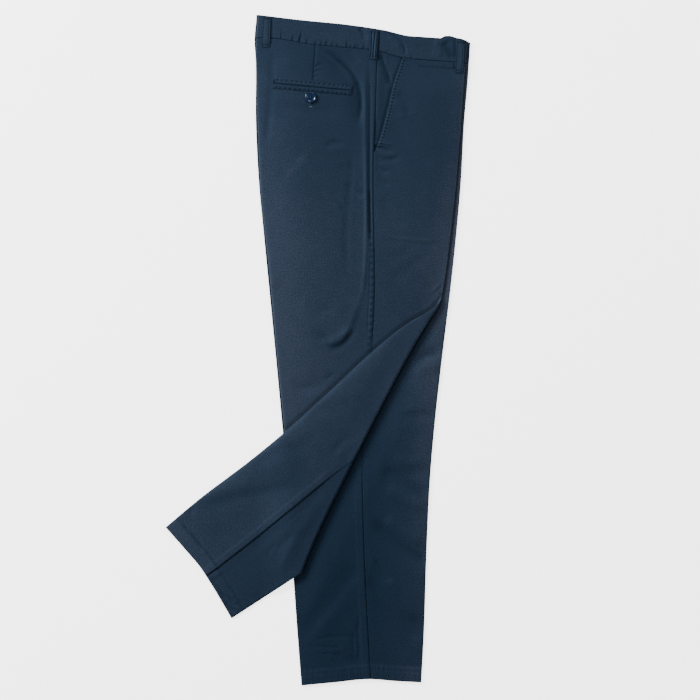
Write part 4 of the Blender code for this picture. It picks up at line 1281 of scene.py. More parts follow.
# %% Wear and painted shading on each part of the cloth
# paleness along the creases is partly wear and partly painted highlight; dark rows are painted shade
THIGH_TONES = (
    ("back crease", 0.12, 0.0, 80.0), ("back crease", 0.12, 0.0, 2.5),
    ("front crease", 0.14, 0.0, 30.0), ("front crease", 0.18, 0.0, 2.0),
    ("side seam", -0.34, 0.0, 1.3), ("waist seam", -0.30, 0.0, 1.0), ("dart", -0.55, 0.0, 1.2, DART_FOOT, 6),
)
FOLDED_TONES = (
    ("front crease", 0.02, 0.0, 34.0), ("inseam", -0.38, 0.0, 1.2),
    ("hem", 0.08, 0.0, 26.0), ("hem", -0.18, HEM_STITCH, 1.4),
)
LOWER_TONES = (
    ("front crease", 0.34, 0.0, 56.0), ("front crease", 0.16, 0.0, 16.0, 30, 60),
    ("back crease", 0.10, 0.0, 30.0), ("y", -0.08, 18.0, 30.0),
    ("inseam", 0.05, -7.0, 8.0), ("inseam", -0.22, 0.0, 1.5),
    ("hem", 0.16, HEM_DEPTH - 1.2, 1.8), ("hem", 0.08, HEM_DEPTH - 11.0, 1.6),
)
UNDER_TONES = (("back crease", 0.14, 0.0, 60.0), ("front crease", 0.14, 0.0, 40.0))
PLAIN_THIGH, PLAIN_FOLDED, PLAIN_LOWER, PLAIN_UNDER = 0.42, 0.44, 0.16, 0.40  # before any of them


def thigh_rub(x, y):
    """Paler towards both creases, partly from wear and partly as painted highlight, with painted shade in
    the seams, the dart, the dimples of the sewing and the ticks beside the side seam.
    """
    rub = PLAIN_THIGH + hills(THIGH_TONES, right, x, y) + creases(THIGH_WEAR_AND_SHADING, x, y)
    rub = rub + 0.12 * eased((400 - y) / 240) - 0.06 * eased((y - 430) / 60)
    mouth, puckers, at_mouth = pocket_mouth(x, y)
    dimples = (0.04 - 0.30 * puckers) * bump(mouth - 4.4, 2.6) * at_mouth
    ticks = 0.5 * eased(-rungs(y, TICK_PITCH)) * bump(LINES["side seam"](right, x, y) + 4.0, 2.8) * ticked(y)
    return rub - dimples - ticks


def folded_rub(x, y):
    """Paler above the inseam than below it, where the lower back half gets painted shade; paler at the front
    crease and on the hem, with painted shade in the inseam and the hem's sewing, and painted light and shade
    along the creases.
    """
    seen = place_right(x, y, -HALF + 0.0 * x)
    rub = PLAIN_FOLDED + 0.11 * eased(LINES["inseam"](right, x, y) / 4.0)
    return rub + hills(FOLDED_TONES, right, x, y) + creases(FOLDED_WEAR_AND_SHADING, seen[..., 0], seen[..., 1])


def lower_rub(x, y):
    """Deep in the middle of the leg. Towards both creases it is partly wear and partly painted highlight,
    with painted shade in the troughs and the inseam, paler towards the upper end, and pale with streaks of
    wear on the hem.
    """
    rub = PLAIN_LOWER + hills(LOWER_TONES, left, x, y) + creases(LOWER_WEAR_AND_SHADING, x, y)
    shin = 0.12 * bump(y + 240.0, 120.0) * bump(LINES["front crease"](left, x, y), 56.0)
    on_hem = eased((HEM_DEPTH - LINES["hem"](left, x, y)) / 3.0)
    streaks = 0.18 * uneven(x, 5.5) * bump(x - 52.0, 24.0)
    return rub + shin + 0.22 * eased((y + 250) / 250) + (0.08 + streaks) * on_hem


def under_rub(x, y):
    """Paler towards both creases, with painted shade where the cloth lifts off the table."""
    lifted = -under_relief(x, y) / UNDER_LIFT
    return PLAIN_UNDER + hills(UNDER_TONES, left, x, y) - 0.13 * lifted


samples = thigh_rub(np.array((-96.0, -20.0)), 300.0)
print("rub at the back crease of the thigh and on the leg:", samples.round(2))

# %% [markdown]
# ## The four leg panels
#
# Front and back are cut apart and meet at the side seam and the inseam. The grids of both share their
# rows, so the two edges of a seam run side by side. A thin wall then turns each skin into cloth.

# %% Making the panels
LEG_LOOKS = {  # reliefs and wear-and-shading maps outside and inside, distance from the layer above, cloth, painted shade at the turns
    right: ((thigh_relief, folded_relief), (thigh_rub, folded_rub), thigh_gap, RIGHT_TWILL, 0.1),
    left: ((under_relief, lower_relief), (under_rub, lower_rub), lower_gap, LEFT_TWILL, 0.35),
}
PANELS = (  # name, leg, is front, count and density of the outer columns, count of the inner columns
    ("right_front", right, True, 60, BY_SEAM, 36),
    ("right_back", right, False, 62, BY_SEAM_AND_DART, 32),
    ("left_front", left, True, 46, BY_SEAM, 56),
    ("left_back", left, False, 46, BY_SEAM, 56),
)
LIES_ON = {right: ("folded", "left_front_cloth"), left: ("laid", "floor")}
for name, leg, is_front, outer_count, outer_density, inner_count in PANELS:
    reliefs, rubs, gap_to, twill, turn_dark = LEG_LOOKS[leg]
    up = 1 if leg is right else -1  # the side of the tube that looks up
    points, uv, px, py, side = panel_surface(
        leg, is_front, spread(outer_count, outer_density), spread(inner_count, BY_INSEAM), *reliefs)
    turned = eased((side + 1) / 2)
    # painted shade on the turn round each crease, where the cloth rolls under
    rub = rubs[0](px, py) * turned + rubs[1](px, py) * (1 - turned) - turn_dark * (1 - side**2)
    gap = np.where(side * up > 0, gap_to(px, py), NO_GAP)
    size = (float(np.ptp(uv[..., 0])), float(np.ptp(py)))
    cloth_skin(name + "_cloth", name + "_panel", points, 20 * (px.shape[1] - 1) + 5, up, uv, CLOTH, twill,
               (size, grid_area(uv[..., 0], uv[..., 1]), *LIES_ON[leg]), rub=rub, gap=gap)

# %% [markdown]
# ## Waistband
#
# The waistband is a straight strip, turned in at both ends to the centre front and centre back. It stands
# a little above the panels, because four layers of cloth lie in its lower edge. The sewing there pulls
# short upright puckers.

# %% Waistband relief and rub
BAND_CREASES = (
    (-1.2, 2.0, 3.4, ((102, 524), (124, 515), (139, 503), (143, 490), (139, 481))),
    (0.6, 5.0, 3.0, ((112, 514), (128, 506), (134, 494))),
    (-1.4, 8.0, 5.0, ((206, 506), (214, 492), (222, 474))),
    (0.8, 5.0, 6.0, ((192, 508), (198, 494), (203, 480))),
    (-0.9, 1.6, 3.0, ((225, 512), (225.4, 494), (224.6, 472))),
    (-0.9, 1.2, 1.4, ((100.2, 528), (99.6, 506), (98.6, 482))),
    (0.8, 5.0, 5.0, ((80, 530), (84, 512), (82, 494))),
    (-0.7, 4.0, 3.0, ((68, 530), (74, 518), (76, 506))),
    (-0.5, 1.4, 2.4, ((-4, 520), (8, 521), (16, 518))),
    (-0.5, 4.0, 4.0, ((160, 500), (178, 494), (190, 486))),
)
BAND_PUCKERS = (  # place along the seam, reach upwards, depth, how far its upper end leans aside
    (-60.8, 19.0, 0.6, 2.0), (-42.0, 13.0, 0.9, 2.0), (-30.7, 23.0, 1.3, 4.5), (-18.5, 11.0, 0.8, 1.0),
    (-4.9, 11.0, 0.8, 3.0), (4.4, 9.5, 0.8, 2.0), (13.1, 11.0, 1.0, 2.0), (23.0, 9.5, 0.7, 1.5),
    (31.2, 8.0, 0.6, 1.0), (47.6, 15.0, 0.9, -1.0), (53.0, 9.0, 0.6, 1.0), (60.7, 9.5, 0.8, 1.5),
    (65.1, 9.0, 0.6, 1.0), (74.6, 9.5, 0.8, 1.0), (112.0, 7.0, 0.5, 1.0), (152.0, 8.0, 0.5, 1.5),
    (176.0, 6.0, 0.4, 1.0),
)
# painted shade along the creases of the waistband
BAND_PAINTED_SHADE = (
    (-0.22, 1.2, 1.2, ((102, 524), (124, 515), (139, 503), (143, 490), (139, 481))),
    (-0.24, 9.0, 6.0, ((204, 508), (214, 492), (222, 474))),
    (-0.40, 1.0, 1.6, ((225, 512), (225.4, 494), (224.6, 472))),
    (-0.40, 1.2, 1.0, ((100.2, 528), (99.6, 506), (98.6, 482))),
    (-0.20, 2.6, 2.6, ((64, 532), (70, 522), (76, 518))),
)
TOP_STITCH = 2.4  # the sewing below the top edge
BAND_HILLS = (
    ("waist seam", -0.5, 0.0, 0.8), ("waist top", -0.6, 0.0, 0.9),
    ("waist top", -0.16, TOP_STITCH, 0.9), ("waist top", 0.1, 5.0, 2.4),
)
# paler along the top edge and the ends; painted shade in the waist seam and in the row of sewing
BAND_TONES = (
    ("waist seam", -0.34, 0.0, 1.0), ("waist top", 0.08, 0.0, 3.0), ("waist top", -0.14, TOP_STITCH, 0.8),
    ("x", 0.06, -100.0, 30.0), ("x", 0.05, 244.0, 20.0),
)
PLAIN_BAND = 0.50


def band_puckers(x, y):
    """Each pucker is a slope on its left and a softer one on its right, e^-(aside / width)^2, where aside
    is the distance from its leaning line. It dies out from the seam to its reach."""
    up = y - curve(WAIST_SEAM, x)
    total = np.zeros(np.broadcast(x, y).shape)
    for at, reach, depth, lean in BAND_PUCKERS:
        aside = x - at - lean * up / reach
        total = total + depth * bump(aside, np.where(aside < 0, 1.3, 2.3)) * eased(1.1 - up / reach)
    return total


def band_relief(x, y):
    """Creases and puckers, a lowered edge at the seam, a rounded top edge and a groove for the sewing."""
    height = creases(BAND_CREASES, x, y) - band_puckers(x, y) + hills(BAND_HILLS, right, x, y)
    return height * eased((x + 101) / 8) * eased((246 - x) / 8)


def band_rub(x, y):
    """Paler along the top edge and towards both ends, with painted shade in the waist seam, the row of
    sewing, the creases and the puckers.
    """
    rub = PLAIN_BAND + hills(BAND_TONES, right, x, y) + creases(BAND_PAINTED_SHADE, x, y)
    return rub - 0.5 * band_puckers(x, y)


print(len(BAND_PUCKERS), "puckers along the waist seam")

# %% [markdown]
# The strip of each half runs from the centre front round the front crease, along the outside and round
# the back crease to the centre back. Only the outside of the right half shows, so it has the relief.

# %% Waistband surface
BAND_ROWS = 34
BAND_COLUMNS = {right: 440, left: 140}
BAND_END_COLUMNS = 16
BAND_WALL = 1.1


def band_surface(leg, proud, relief):
    """Centre front, front crease, outer run, back crease, centre back, from the seam to the top edge."""
    seam = leg.waist_row()[None, :]
    front, back = (float(end[0]) for end in leg.ends(seam))
    inner_front, inner_back = (float(leg.crossing(seam, leg.inner, side)[0]) for side in (True, False))
    share = (0.5 - 0.5 * np.cos(pi * np.linspace(0, 1, BAND_ROWS)))[:, None]
    share = 0.4 * share + 0.6 * np.linspace(0, 1, BAND_ROWS)[:, None]

    def height(x):
        return curve(WAIST_SEAM, x) * (1 - share) + curve(WAIST_TOP, x) * share

    x_front = curve(leg.front_crease, height(front)) - HALF
    x_back = curve(leg.back_crease, height(back)) + HALF

    def across(start, end, count):
        x = np.linspace(start, end, count)[None, :]
        return x_back + (x - back) * (x_front - x_back) / (front - back)

    run = across(front, back, BAND_COLUMNS[leg])
    front_end = across(inner_front, front, BAND_END_COLUMNS)
    back_end = across(back, inner_back, BAND_END_COLUMNS)
    bend = HALF + proud * (1 - np.cos(turn_angle)) / 2
    x = np.concatenate((front_end, x_front + bend * np.sin(turn_angle), run,
                        x_back - bend[::-1] * np.sin(turn_angle), back_end), axis=1)
    turn_z = 0 * share - bend * np.cos(turn_angle)
    z = np.concatenate((0 * front_end - HALF, turn_z, HALF + proud + relief(run, height(run)),
                        turn_z[:, ::-1], 0 * back_end - HALF), axis=1)
    y = height(np.clip(x, x_back, x_front))
    return leg.place(x, y, z), x, y


for name, leg, proud, relief in (("right_waistband", right, BAND_PROUD, band_relief),
                                 ("left_waistband", left, 0.0, flat_relief)):
    points, px, py = band_surface(leg, proud, relief)
    along = cloth_lengths(points)
    size = (float(np.ptp(py[:, 0])), float(along[:, -1].max()))
    cloth_skin(name + "_cloth", name, points, BAND_END_COLUMNS + TURN_COLUMNS + BAND_COLUMNS[leg] // 2,
               1 if leg is right else -1, np.stack((py - py.min(), along), axis=-1), BAND_WALL, BAND_TWILL,
               (size, size[0] * size[1], *LIES_ON[leg]), rub=band_rub(px, py))

# %% [markdown]
# ## Pocket bearer
#
# Behind the slanting mouth lies a piece of the same cloth, sewn into the side seam and the waist. It
# hangs a little back from the mouth, and the shadow there, cast and also painted into its colour, draws the
# pocket.

# %% Bearer behind the slant pocket
BEARER_UNDERLAP = 12.0
BEARER_DROP = 1.4
BEARER_TOP_X = 115.0
BEARER_CREASES = (
    (-1.6, 3.0, 6.0, ((103, 488), (108, 470), (115, 450), (121, 430))),
    (0.5, 5.0, 5.0, ((98, 470), (100, 420), (97, 370))),
)
BEARER_PAINTED_SHADE = ((-0.34, 2.4, 5.0, ((102, 490), (108, 470), (115, 450), (121, 430))),)
waist_rows = right.waist_row()[None, :]
share = np.linspace(0, 1, 120)[:, None]
top = float(right.line(waist_rows, np.array([[BEARER_TOP_X]]))[0, 0])
by = top + (MOUTH_FOOT - top) * share
seam, mouth = curve(RIGHT_OUTSEAM, by), curve(POCKET_MOUTH, by)
bx = seam + (mouth + BEARER_UNDERLAP - seam) * np.linspace(0, 1, 46)
by = by + (1 - share) ** 2 * (right.line(waist_rows, bx) - top)
behind = np.maximum(eased((bx - seam) / np.maximum(mouth - seam, 1.0)), eased((share - 0.55) / 0.3))
bz = HALF - BEARER_DROP * behind + thigh_relief(seam + 0 * bx, by) * (1 - behind)
bz = bz + thigh_relief(np.maximum(bx, mouth), by) * behind
bz = bz - 0.9 * bump(bx - mouth + 1.5, 3.0) * eased((mouth - seam) / 9)
bz = bz + creases(BEARER_CREASES, bx, by) - 0.5 * bump(bx - seam, 0.9)
points = place_right(bx, by, bz)
across = cloth_lengths(points)
height = float(np.ptp(by))
# the bearer's colour has painted shade beside the mouth and along its fold
cloth_skin("right_pocket_bearer", "right_pocket_facing", points, 600, 1, np.stack((across, by), axis=-1),
           CLOTH, POCKET_TWILL,
           ((float(across[0, -1]), height), float(across[:, -1].mean()) * height, "laid", "left_front_cloth"),
           rub=0.42 - 0.26 * bump(bx - mouth + 1.0, 4.0) + creases(BEARER_PAINTED_SHADE, bx, by))

# %% [markdown]
# ## Strips: belt loops and welts
#
# A belt loop is a narrow strip with both edges turned under and two rows of sewing. A welt is a folded
# lip. Both are a rounded, flat section carried along a straight path on the cloth: the section has its
# own relief for the sewing, and a seat tells how high the strip's underside lies along the path.

# %% A section carried along a path
LOOP_WIDTH = 14.0
LOOP_WALL = 1.0
LOOP_ARCH = 0.5
LOOP_FOOT = (0.75, 0.2)  # share of a loop's length where it steps down from the waistband, and over which
LOOP_STITCH = 4.6  # each row of sewing, from the middle line
SQUASHED = 0.35  # share of a strip's thickness at its two ends
SECTION_POINTS = 31  # across the top of a strip


def beside(start, end, share, across):
    """x and y at a share of the way from start to end, and a distance to the left of that line."""
    start, run = np.array(start), np.subtract(end, start)
    aside = np.array((-run[1], run[0])) / np.hypot(*run)
    return start[0] + run[0] * share + aside[0] * across, start[1] + run[1] * share + aside[1] * across


def loop_seat(start, end, share, across):
    """A loop bridges the waistband in a low arch of height sin(pi share)^0.8, and its foot follows the
    hip below."""
    arch = LOOP_ARCH * np.sin(pi * share) ** 0.8
    step = BAND_PROUD * (1 - eased((share - LOOP_FOOT[0]) / LOOP_FOOT[1]))
    ground = thigh_relief(*beside(start, end, share, 0.0)) * eased((share - 0.6) / 0.3)
    return SEAM + arch + step + ground + 0 * across


def welt_seat(start, end, share, across):
    """A welt follows the hip all along."""
    return SEAM + thigh_relief(*beside(start, end, share, across))


def strip_section(width, wall, n):
    """A closed flat section: across from -0.5 to 0.5 on top and back below, with round edges. Returns
    the place across in mm, the height above the strip's underside, and 1 on top and 0 below."""
    top = np.sin(np.linspace(-pi / 2, pi / 2, n)) * 0.5
    edge = np.sqrt(np.clip(1 - (np.abs(top) * 2) ** 14, 0.0, 1.0))
    across = np.concatenate((top, top[::-1][1:-1]))
    height = np.concatenate((wall * (0.5 + 0.5 * edge), (wall * (0.5 - 0.5 * edge))[::-1][1:-1]))
    return across * width, height, np.concatenate((np.ones(n), np.zeros(n - 2)))


def strip_object(node, start, end, width, wall, seat, shape, marks, rests_on, rows=70):
    """The section swept from start to end on its seat. shape raises its top and marks give its share of
    wear and painted shade, both as functions of the share of the length and the place across."""
    across, thick, is_top = strip_section(width, wall, SECTION_POINTS)
    share = np.concatenate(([0.0], np.linspace(0, 1, rows - 2), [1.0]))[:, None]
    full = np.ones_like(share)
    full[0] = full[-1] = SQUASHED
    x, y = beside(start, end, share, across)
    height = seat(start, end, share, across) + wall / 2 + (thick - wall / 2) * full
    placed = to_frame(place_right(x, y, HALF + height + shape(share, across) * is_top * (full == 1)))
    columns = len(across)
    first, last = list(range(columns)), list(range((rows - 1) * columns, rows * columns))
    faces = [*grid_quads(rows, columns, closed=True), last, first[::-1]]
    faces = facing(placed, faces, columns * 20 + SECTION_POINTS // 2, 1)
    length = float(np.hypot(*np.subtract(end, start)))
    uv = np.stack((across + 0 * x, share * length + 0 * x), axis=-1)
    item = new_mesh(node + "_cloth", placed, faces, TRIM_TWILL, uv, rub=marks(share, across) + 0 * x)
    item.data.set_sharp_from_angle(angle=1.0)
    stand_for(item, node)


print("a loop's section has", len(strip_section(LOOP_WIDTH, LOOP_WALL, SECTION_POINTS)[0]), "points")

# %% [markdown]
# Each loop has its own look: plain at the back, crumpled into two furrows at the side, and dented at the
# front.

# %% Belt loops


def plain_loop(share, across):
    """Two grooves of sewing near the edges, a swell between them and dents at the bar tacks."""
    rows = -0.35 * bump(np.abs(across) - LOOP_STITCH, 0.7) + 0.25 * bump(across, 3.0)
    tack = -0.5 * (bump(share - 0.04, 0.02) + bump(share - 0.93, 0.02))
    return rows + tack + 0.1 * uneven(share * 50, 6.0) * bump(np.abs(across) - 5.5, 1.5)


def furrows(share, across, left_depth, right_depth):
    """Two narrow furrows that wander a little along the side loop, fading at both ends."""
    wander = 0.8 * np.sin(2 * pi * share + 0.6)
    middle = eased(share / 0.1) * eased((1 - share) / 0.12)
    left_furrow = left_depth * bump(across + 3.2 + wander, 0.8)
    return (left_furrow + right_depth * bump(across - 0.8 - 0.6 * wander, 0.8)) * middle
# The folded leg covers part of the thigh, and both lie on the left leg. Beside such an edge the cloth below
# is flat and catches little light. So every point knows its distance from the edge above it: the relief uses
# it here, and further down the colour uses it for a painted shadow along the edge.


def pleated_loop(share, across):
    """The side loop is crumpled: two furrows with ridges between."""
    middle = eased(share / 0.1) * eased((1 - share) / 0.12)
    ridges = (0.5 * bump(across + 1.2, 1.2) + 0.9 * bump(across - 3.4, 1.6)) * middle
    return 0.4 * plain_loop(share, across) + ridges - furrows(share, across, 0.8, 0.9)


def front_loop(share, across):
    """The front loop has a soft dent along its middle."""
    return plain_loop(share, across) - 0.4 * bump(across + 1.0, 2.6) * np.sin(pi * share)


def loop_marks(share, across):
    """Painted shade in both rows of sewing, at the bar tacks and along the folded edges, paler between."""
    rows = 0.36 * bump(np.abs(across) - LOOP_STITCH, 0.7) + 0.45 * bump(np.abs(across) - 7.0, 0.7)
    tack = bump(share - 0.93, 0.016) + bump(share - 0.04, 0.016) + 1.6 * bump(share - 1.0, 0.012)
    return 0.55 - rows - 0.26 * tack


def pleated_marks(share, across):
    """As the other loops, with painted shade in the two furrows."""
    return loop_marks(share, across) - furrows(share, across, 0.3, 0.3)


LOOPS = (  # node, start at the waistband's top, end below it, shape, marks, cloth under its foot
    ("belt_loop_back", (-83.6, 545.5), (-86.1, 496.3), plain_loop, loop_marks, "right_back_cloth"),
    ("belt_loop_side", (92.8, 523.8), (89.5, 476.6), pleated_loop, pleated_marks, "right_back_cloth"),
    ("belt_loop_front", (234.0, 506.6), (231.0, 454.3), front_loop, loop_marks, "right_front_cloth"),
)
for node, start, end, shape, marks, below in LOOPS:
    strip_object(node, start, end, LOOP_WIDTH, LOOP_WALL, loop_seat, shape, marks, below)
print(len(LOOPS), "belt loops")

# %% [markdown]
# The welts lie lip to lip. Their outer edges are edge stitched through the panel, and the thread pulls a
# dimple every few millimetres.

# %% Welts
WELT_HEIGHT = 7.6
WELT_WALL = 0.8
WELT_DIMPLES = (126, 7.6)  # the wave of the stitches: length of the welt and pitch
WATCH_WELT_HEIGHT = 10.0
WATCH_WELT_WALL = 0.5
WATCH_LENGTH = 58


def welt_looks(outer_side):
    """Shape and marks of a welt whose sewn edge is on the left (1) or on the right (-1)."""

    def shape(share, across):
        """A round swell along the lip, falling to the sewn edge, with a dimple at each stitch."""
        outer = across * outer_side
        dimple = 0.42 * rungs(share * WELT_DIMPLES[0], WELT_DIMPLES[1]) * bump(outer - 2.6, 2.0)
        lip = 0.30 * bump(outer + 1.2, 1.8) - 0.6 * bump(outer + 3.8, 0.8)
        return dimple + lip - 0.65 * bump(outer - 3.8, 1.6)

    def marks(share, across):
        """Painted shade between the stitches and, darkest, along the lip."""
        outer = across * outer_side
        dashes = 0.5 * eased(0.35 - rungs(share * WELT_DIMPLES[0], WELT_DIMPLES[1])) * bump(outer - 2.6, 1.3)
        ends = bump(share, 0.008) + bump(share - 1.0, 0.008)
        return 0.42 - dashes - 0.5 * bump(outer + 3.9, 0.7) - 0.3 * ends

    return shape, marks


def watch_shape(share, across):
    """Nearly flush: a groove along the lower edge, where the small pocket is stitched."""
    wave = 0.1 * uneven(share * WATCH_LENGTH, 6.0) * bump(across + 3.0, 2.0)
    return wave - 0.3 * bump(across + 4.6, 2.0)


def watch_marks(share, across):
    """Painted shade at both ends and in the broken row of sewing."""
    dashes = 0.14 * eased(0.6 - uneven(share * WATCH_LENGTH, 5.0)) * bump(across + 2.6, 0.9)
    return 0.44 - dashes - 0.26 * bump(share - 0.01, 0.014) - 0.26 * bump(share - 0.99, 0.014)


BACK_WELT = (WELT_HEIGHT, WELT_WALL)
WATCH_WELT = (WATCH_WELT_HEIGHT, WATCH_WELT_WALL)
ROW_SEAT = 0.4  # height of a row of stitches above the seat of its welt
WELTS = (  # node, start, end, height and wall, shape and marks, offset of the row of stitches
    ("back_welt_upper", (-70.8, 440.2), (54.9, 428.6), BACK_WELT, welt_looks(1), 3.0),
    ("back_welt_lower", (-73.1, 432.0), (53.1, 420.8), BACK_WELT, welt_looks(-1), -3.0),
    ("watch_pocket_welt", (163.2, 470.0), (221.4, 465.8), WATCH_WELT, (watch_shape, watch_marks), -2.6),
)
for node, start, end, size, looks, _ in WELTS:
    below = "right_back_cloth" if node.startswith("back") else "right_front_cloth"
    strip_object(node, start, end, *size, welt_seat, *looks, below, rows=130)
print(len(WELTS), "welts")

# %% [markdown]
# ## Fly placket
#
# The fly closes with a placket along the centre front. Folded flat, it lies hidden between the two legs.

# %% Placket in the front gusset
PLACKET_WIDTH = 34.0
PLACKET_BOTTOM = 268.0
PLACKET_CURVE = 45.0  # the lower end narrows over this height
placket_top = float(curve(WAIST_SEAM, 180.0)) - SEAM / 2
py = np.linspace(placket_top, PLACKET_BOTTOM, 60)[:, None]
width = PLACKET_WIDTH * (1 - 0.5 * eased((PLACKET_BOTTOM + PLACKET_CURVE - py) / PLACKET_CURVE))
px = curve(CENTRE_FRONT, py) - SEAM - width * (1 - np.linspace(0, 1, 12))
points = np.stack(np.broadcast_arrays(px, py, TUBE + SEAM / 2 + 0.45), axis=-1)
length = placket_top - PLACKET_BOTTOM
cloth_skin("fly_placket_cloth", "fly_placket", points, 5, 1, points[..., :2], CLOTH, POCKET_TWILL,
           ((PLACKET_WIDTH, length), float(width.mean()) * length, "laid", "floor"), rub=0.4 + 0 * px)

# %% [markdown]
# ## From the pattern to a place on the cloth
#
# Buttons and thread lie on the panels, so each place asks the panel's own surface for its height there.

# %% Places on the cloth
LIFT = 0.12  # a stitch's axis above the cloth


def place_on(place, side, relief, proud=0.0):
    """A function of x and y that gives places on one side of a leg, a lift above the cloth."""
    return lambda x, y, lift=LIFT: place(x, y, side * (HALF + proud + relief(x, y) + lift))


on_thigh = place_on(place_right, 1, thigh_relief)
on_folded = place_on(place_right, -1, folded_relief)
on_lower = place_on(place_left, -1, lower_relief)
on_band = place_on(place_right, 1, band_relief, BAND_PROUD)
print("a place on the hip, mm:", np.round(on_thigh(np.array(0.0), np.array(400.0)), 1))

# %% [markdown]
# ## The back pocket button
#
# A resin button is turned on a lathe: a profile goes once round. Its rim is rounded, the face is dished
# and four holes are drilled. The profile below is richer than the solid's, and Boolean cylinders drill
# the holes.

# %% Turned button
BUTTON_PROFILE = (  # height, radius: up the side from the underside, over the rim and into the dish
    (0.0, 0.0), (0.0, 7.4), (0.25, 8.1), (0.8, 8.7), (1.5, 9.0), (2.1, 8.85), (2.6, 8.4), (2.8, 7.7),
    (2.75, 7.0), (2.45, 6.4), (2.1, 5.9), (1.88, 5.2), (1.78, 3.6), (1.72, 1.8), (1.7, 0.0),
)
BUTTON_TURNS = 72
HOLE_RADIUS = 0.9
HOLE_RING = 2.0
DRILL_LENGTH = 12.0
DRILL_SIDES = 24
SHARP = 0.7  # radians; edges that turn more than this stay crisp
RESIN = {
    "Specular Tint": (0.45, 0.70, 1.0, 1.0),
    "Coat Weight": 0.3, "Coat Roughness": 0.08, "Coat Tint": (0.55, 0.75, 1.0, 1.0),
}
RESIN_DARK = (0.0006, 0.0026, 0.0100, 1.0)
RESIN_LIGHT = (0.0026, 0.0110, 0.0380, 1.0)
MARBLE_NOISE = 260.0
TURNING_NOISE = 1800.0
TURNING_DEPTH = 0.0001  # metres


def lathe(profile, turns):
    """Points radius * (cos a, sin a) at each height of a smoothed profile; the poles are single points."""
    height, radius = path_points(profile, 3).T
    rings = len(height) - 2
    angle = np.arange(turns) * 2 * pi / turns
    ring = np.stack((np.cos(angle), np.sin(angle)), axis=1)
    middle = np.maximum(radius, 0.0)[1:-1, None, None] * ring[None]
    z = np.broadcast_to(height[1:-1, None, None], middle.shape[:2] + (1,))
    body = np.concatenate((middle, z), axis=2).reshape(-1, 3)
    points = np.concatenate((body, [[0, 0, height[0]], [0, 0, height[-1]]]))
    first = np.arange(turns)
    last = first + (rings - 1) * turns
    fan_low = np.stack((np.full(turns, rings * turns), first, np.roll(first, -1)), axis=1)
    fan_high = np.stack((np.full(turns, rings * turns + 1), np.roll(last, -1), last), axis=1)
    return points, [*grid_quads(rings, turns, closed=True), *fan_low.tolist(), *fan_high.tolist()]


def resin_material():
    """Polished navy resin: faint marbling in the colour, a clear coat and fine turning marks."""
    material, tree, shader = new_material("navy_resin", RESIN)
    place = add(tree, "TexCoord", {})["Object"]
    cloud = noise(tree, place, MARBLE_NOISE, 4.0, 0.6)
    tree.links.new(mixed(tree, cloud, RESIN_DARK, RESIN_LIGHT), shader.inputs["Base Color"])
    tree.links.new(maths(tree, "MULTIPLY_ADD", cloud, 0.12, 0.12), shader.inputs["Roughness"])
    raise_surface(tree, shader, noise(tree, place, TURNING_NOISE), 0.15, TURNING_DEPTH)
    return material


button_seat = on_thigh(*BUTTON_CENTRE, SEAM)
seat_frame = to_frame(button_seat)
button_points, button_faces = lathe(BUTTON_PROFILE, BUTTON_TURNS)
blank = new_mesh("button_blank", button_points * MM + seat_frame, button_faces, resin_material())
drills = []
for hole_angle in pi / 4 + np.arange(4) * pi / 2:
    bpy.ops.mesh.primitive_cylinder_add(
        vertices=DRILL_SIDES, radius=HOLE_RADIUS * MM, depth=DRILL_LENGTH * MM)
    drills.append(bpy.context.object)
    way_out = np.array((np.cos(hole_angle), np.sin(hole_angle), 0.0))
    drills[-1].location = seat_frame + way_out * HOLE_RING * MM
    hole = blank.modifiers.new("Hole", "BOOLEAN")
    hole.object = drills[-1]
    hole.operation = "DIFFERENCE"
bpy.context.view_layer.update()
drilled = bpy.data.meshes.new_from_object(blank.evaluated_get(bpy.context.evaluated_depsgraph_get()))
for tool in (*drills, blank):
    bpy.data.objects.remove(tool)
drilled.shade_smooth()
drilled.set_sharp_from_angle(angle=SHARP)
stand_for(new_object("back_pocket_button_resin", drilled, shop), "back_pocket_button")
print("button", len(drilled.polygons), "faces")

# %% [markdown]
# ## Sewing
#
# A lockstitch shows as a row of short, round grains of thread. One grain is a small capsule whose ends
# dive into the cloth. All the grains of one piece are one mesh: the capsule's points are repeated along
# the row in a single array sum.

# %% Thread and stitches
THREAD_RADIUS = 0.24
STITCH_LENGTH = 2.1
STITCH_PITCH = 2.7
HEM_PITCH = 3.2
POLYESTER = {"Roughness": 0.65, "Specular IOR Level": 0.15}
THREAD_DARK = (0.0030, 0.0080, 0.0180, 1.0)
THREAD_LIGHT = (0.060, 0.095, 0.15, 1.0)
TWIST_SCALE = 900.0
TWIST_DEPTH = 0.0001  # metres


def thread_material():
    """Polyester thread: a touch glossier and paler than the cloth, with its twist in the bump."""
    material, tree, shader = new_material("navy_thread", POLYESTER)
    feeds = {"Vector": weave_map(tree), "Scale": TWIST_SCALE}
    twist = add(tree, "TexWave", feeds, bands_direction="DIAGONAL")
    colour = mixed(tree, attribute(tree, "rub"), THREAD_DARK, THREAD_LIGHT)
    tree.links.new(colour, shader.inputs["Base Color"])
    raise_surface(tree, shader, twist["Fac"], 0.5, TWIST_DEPTH)
    return material


THREAD = thread_material()


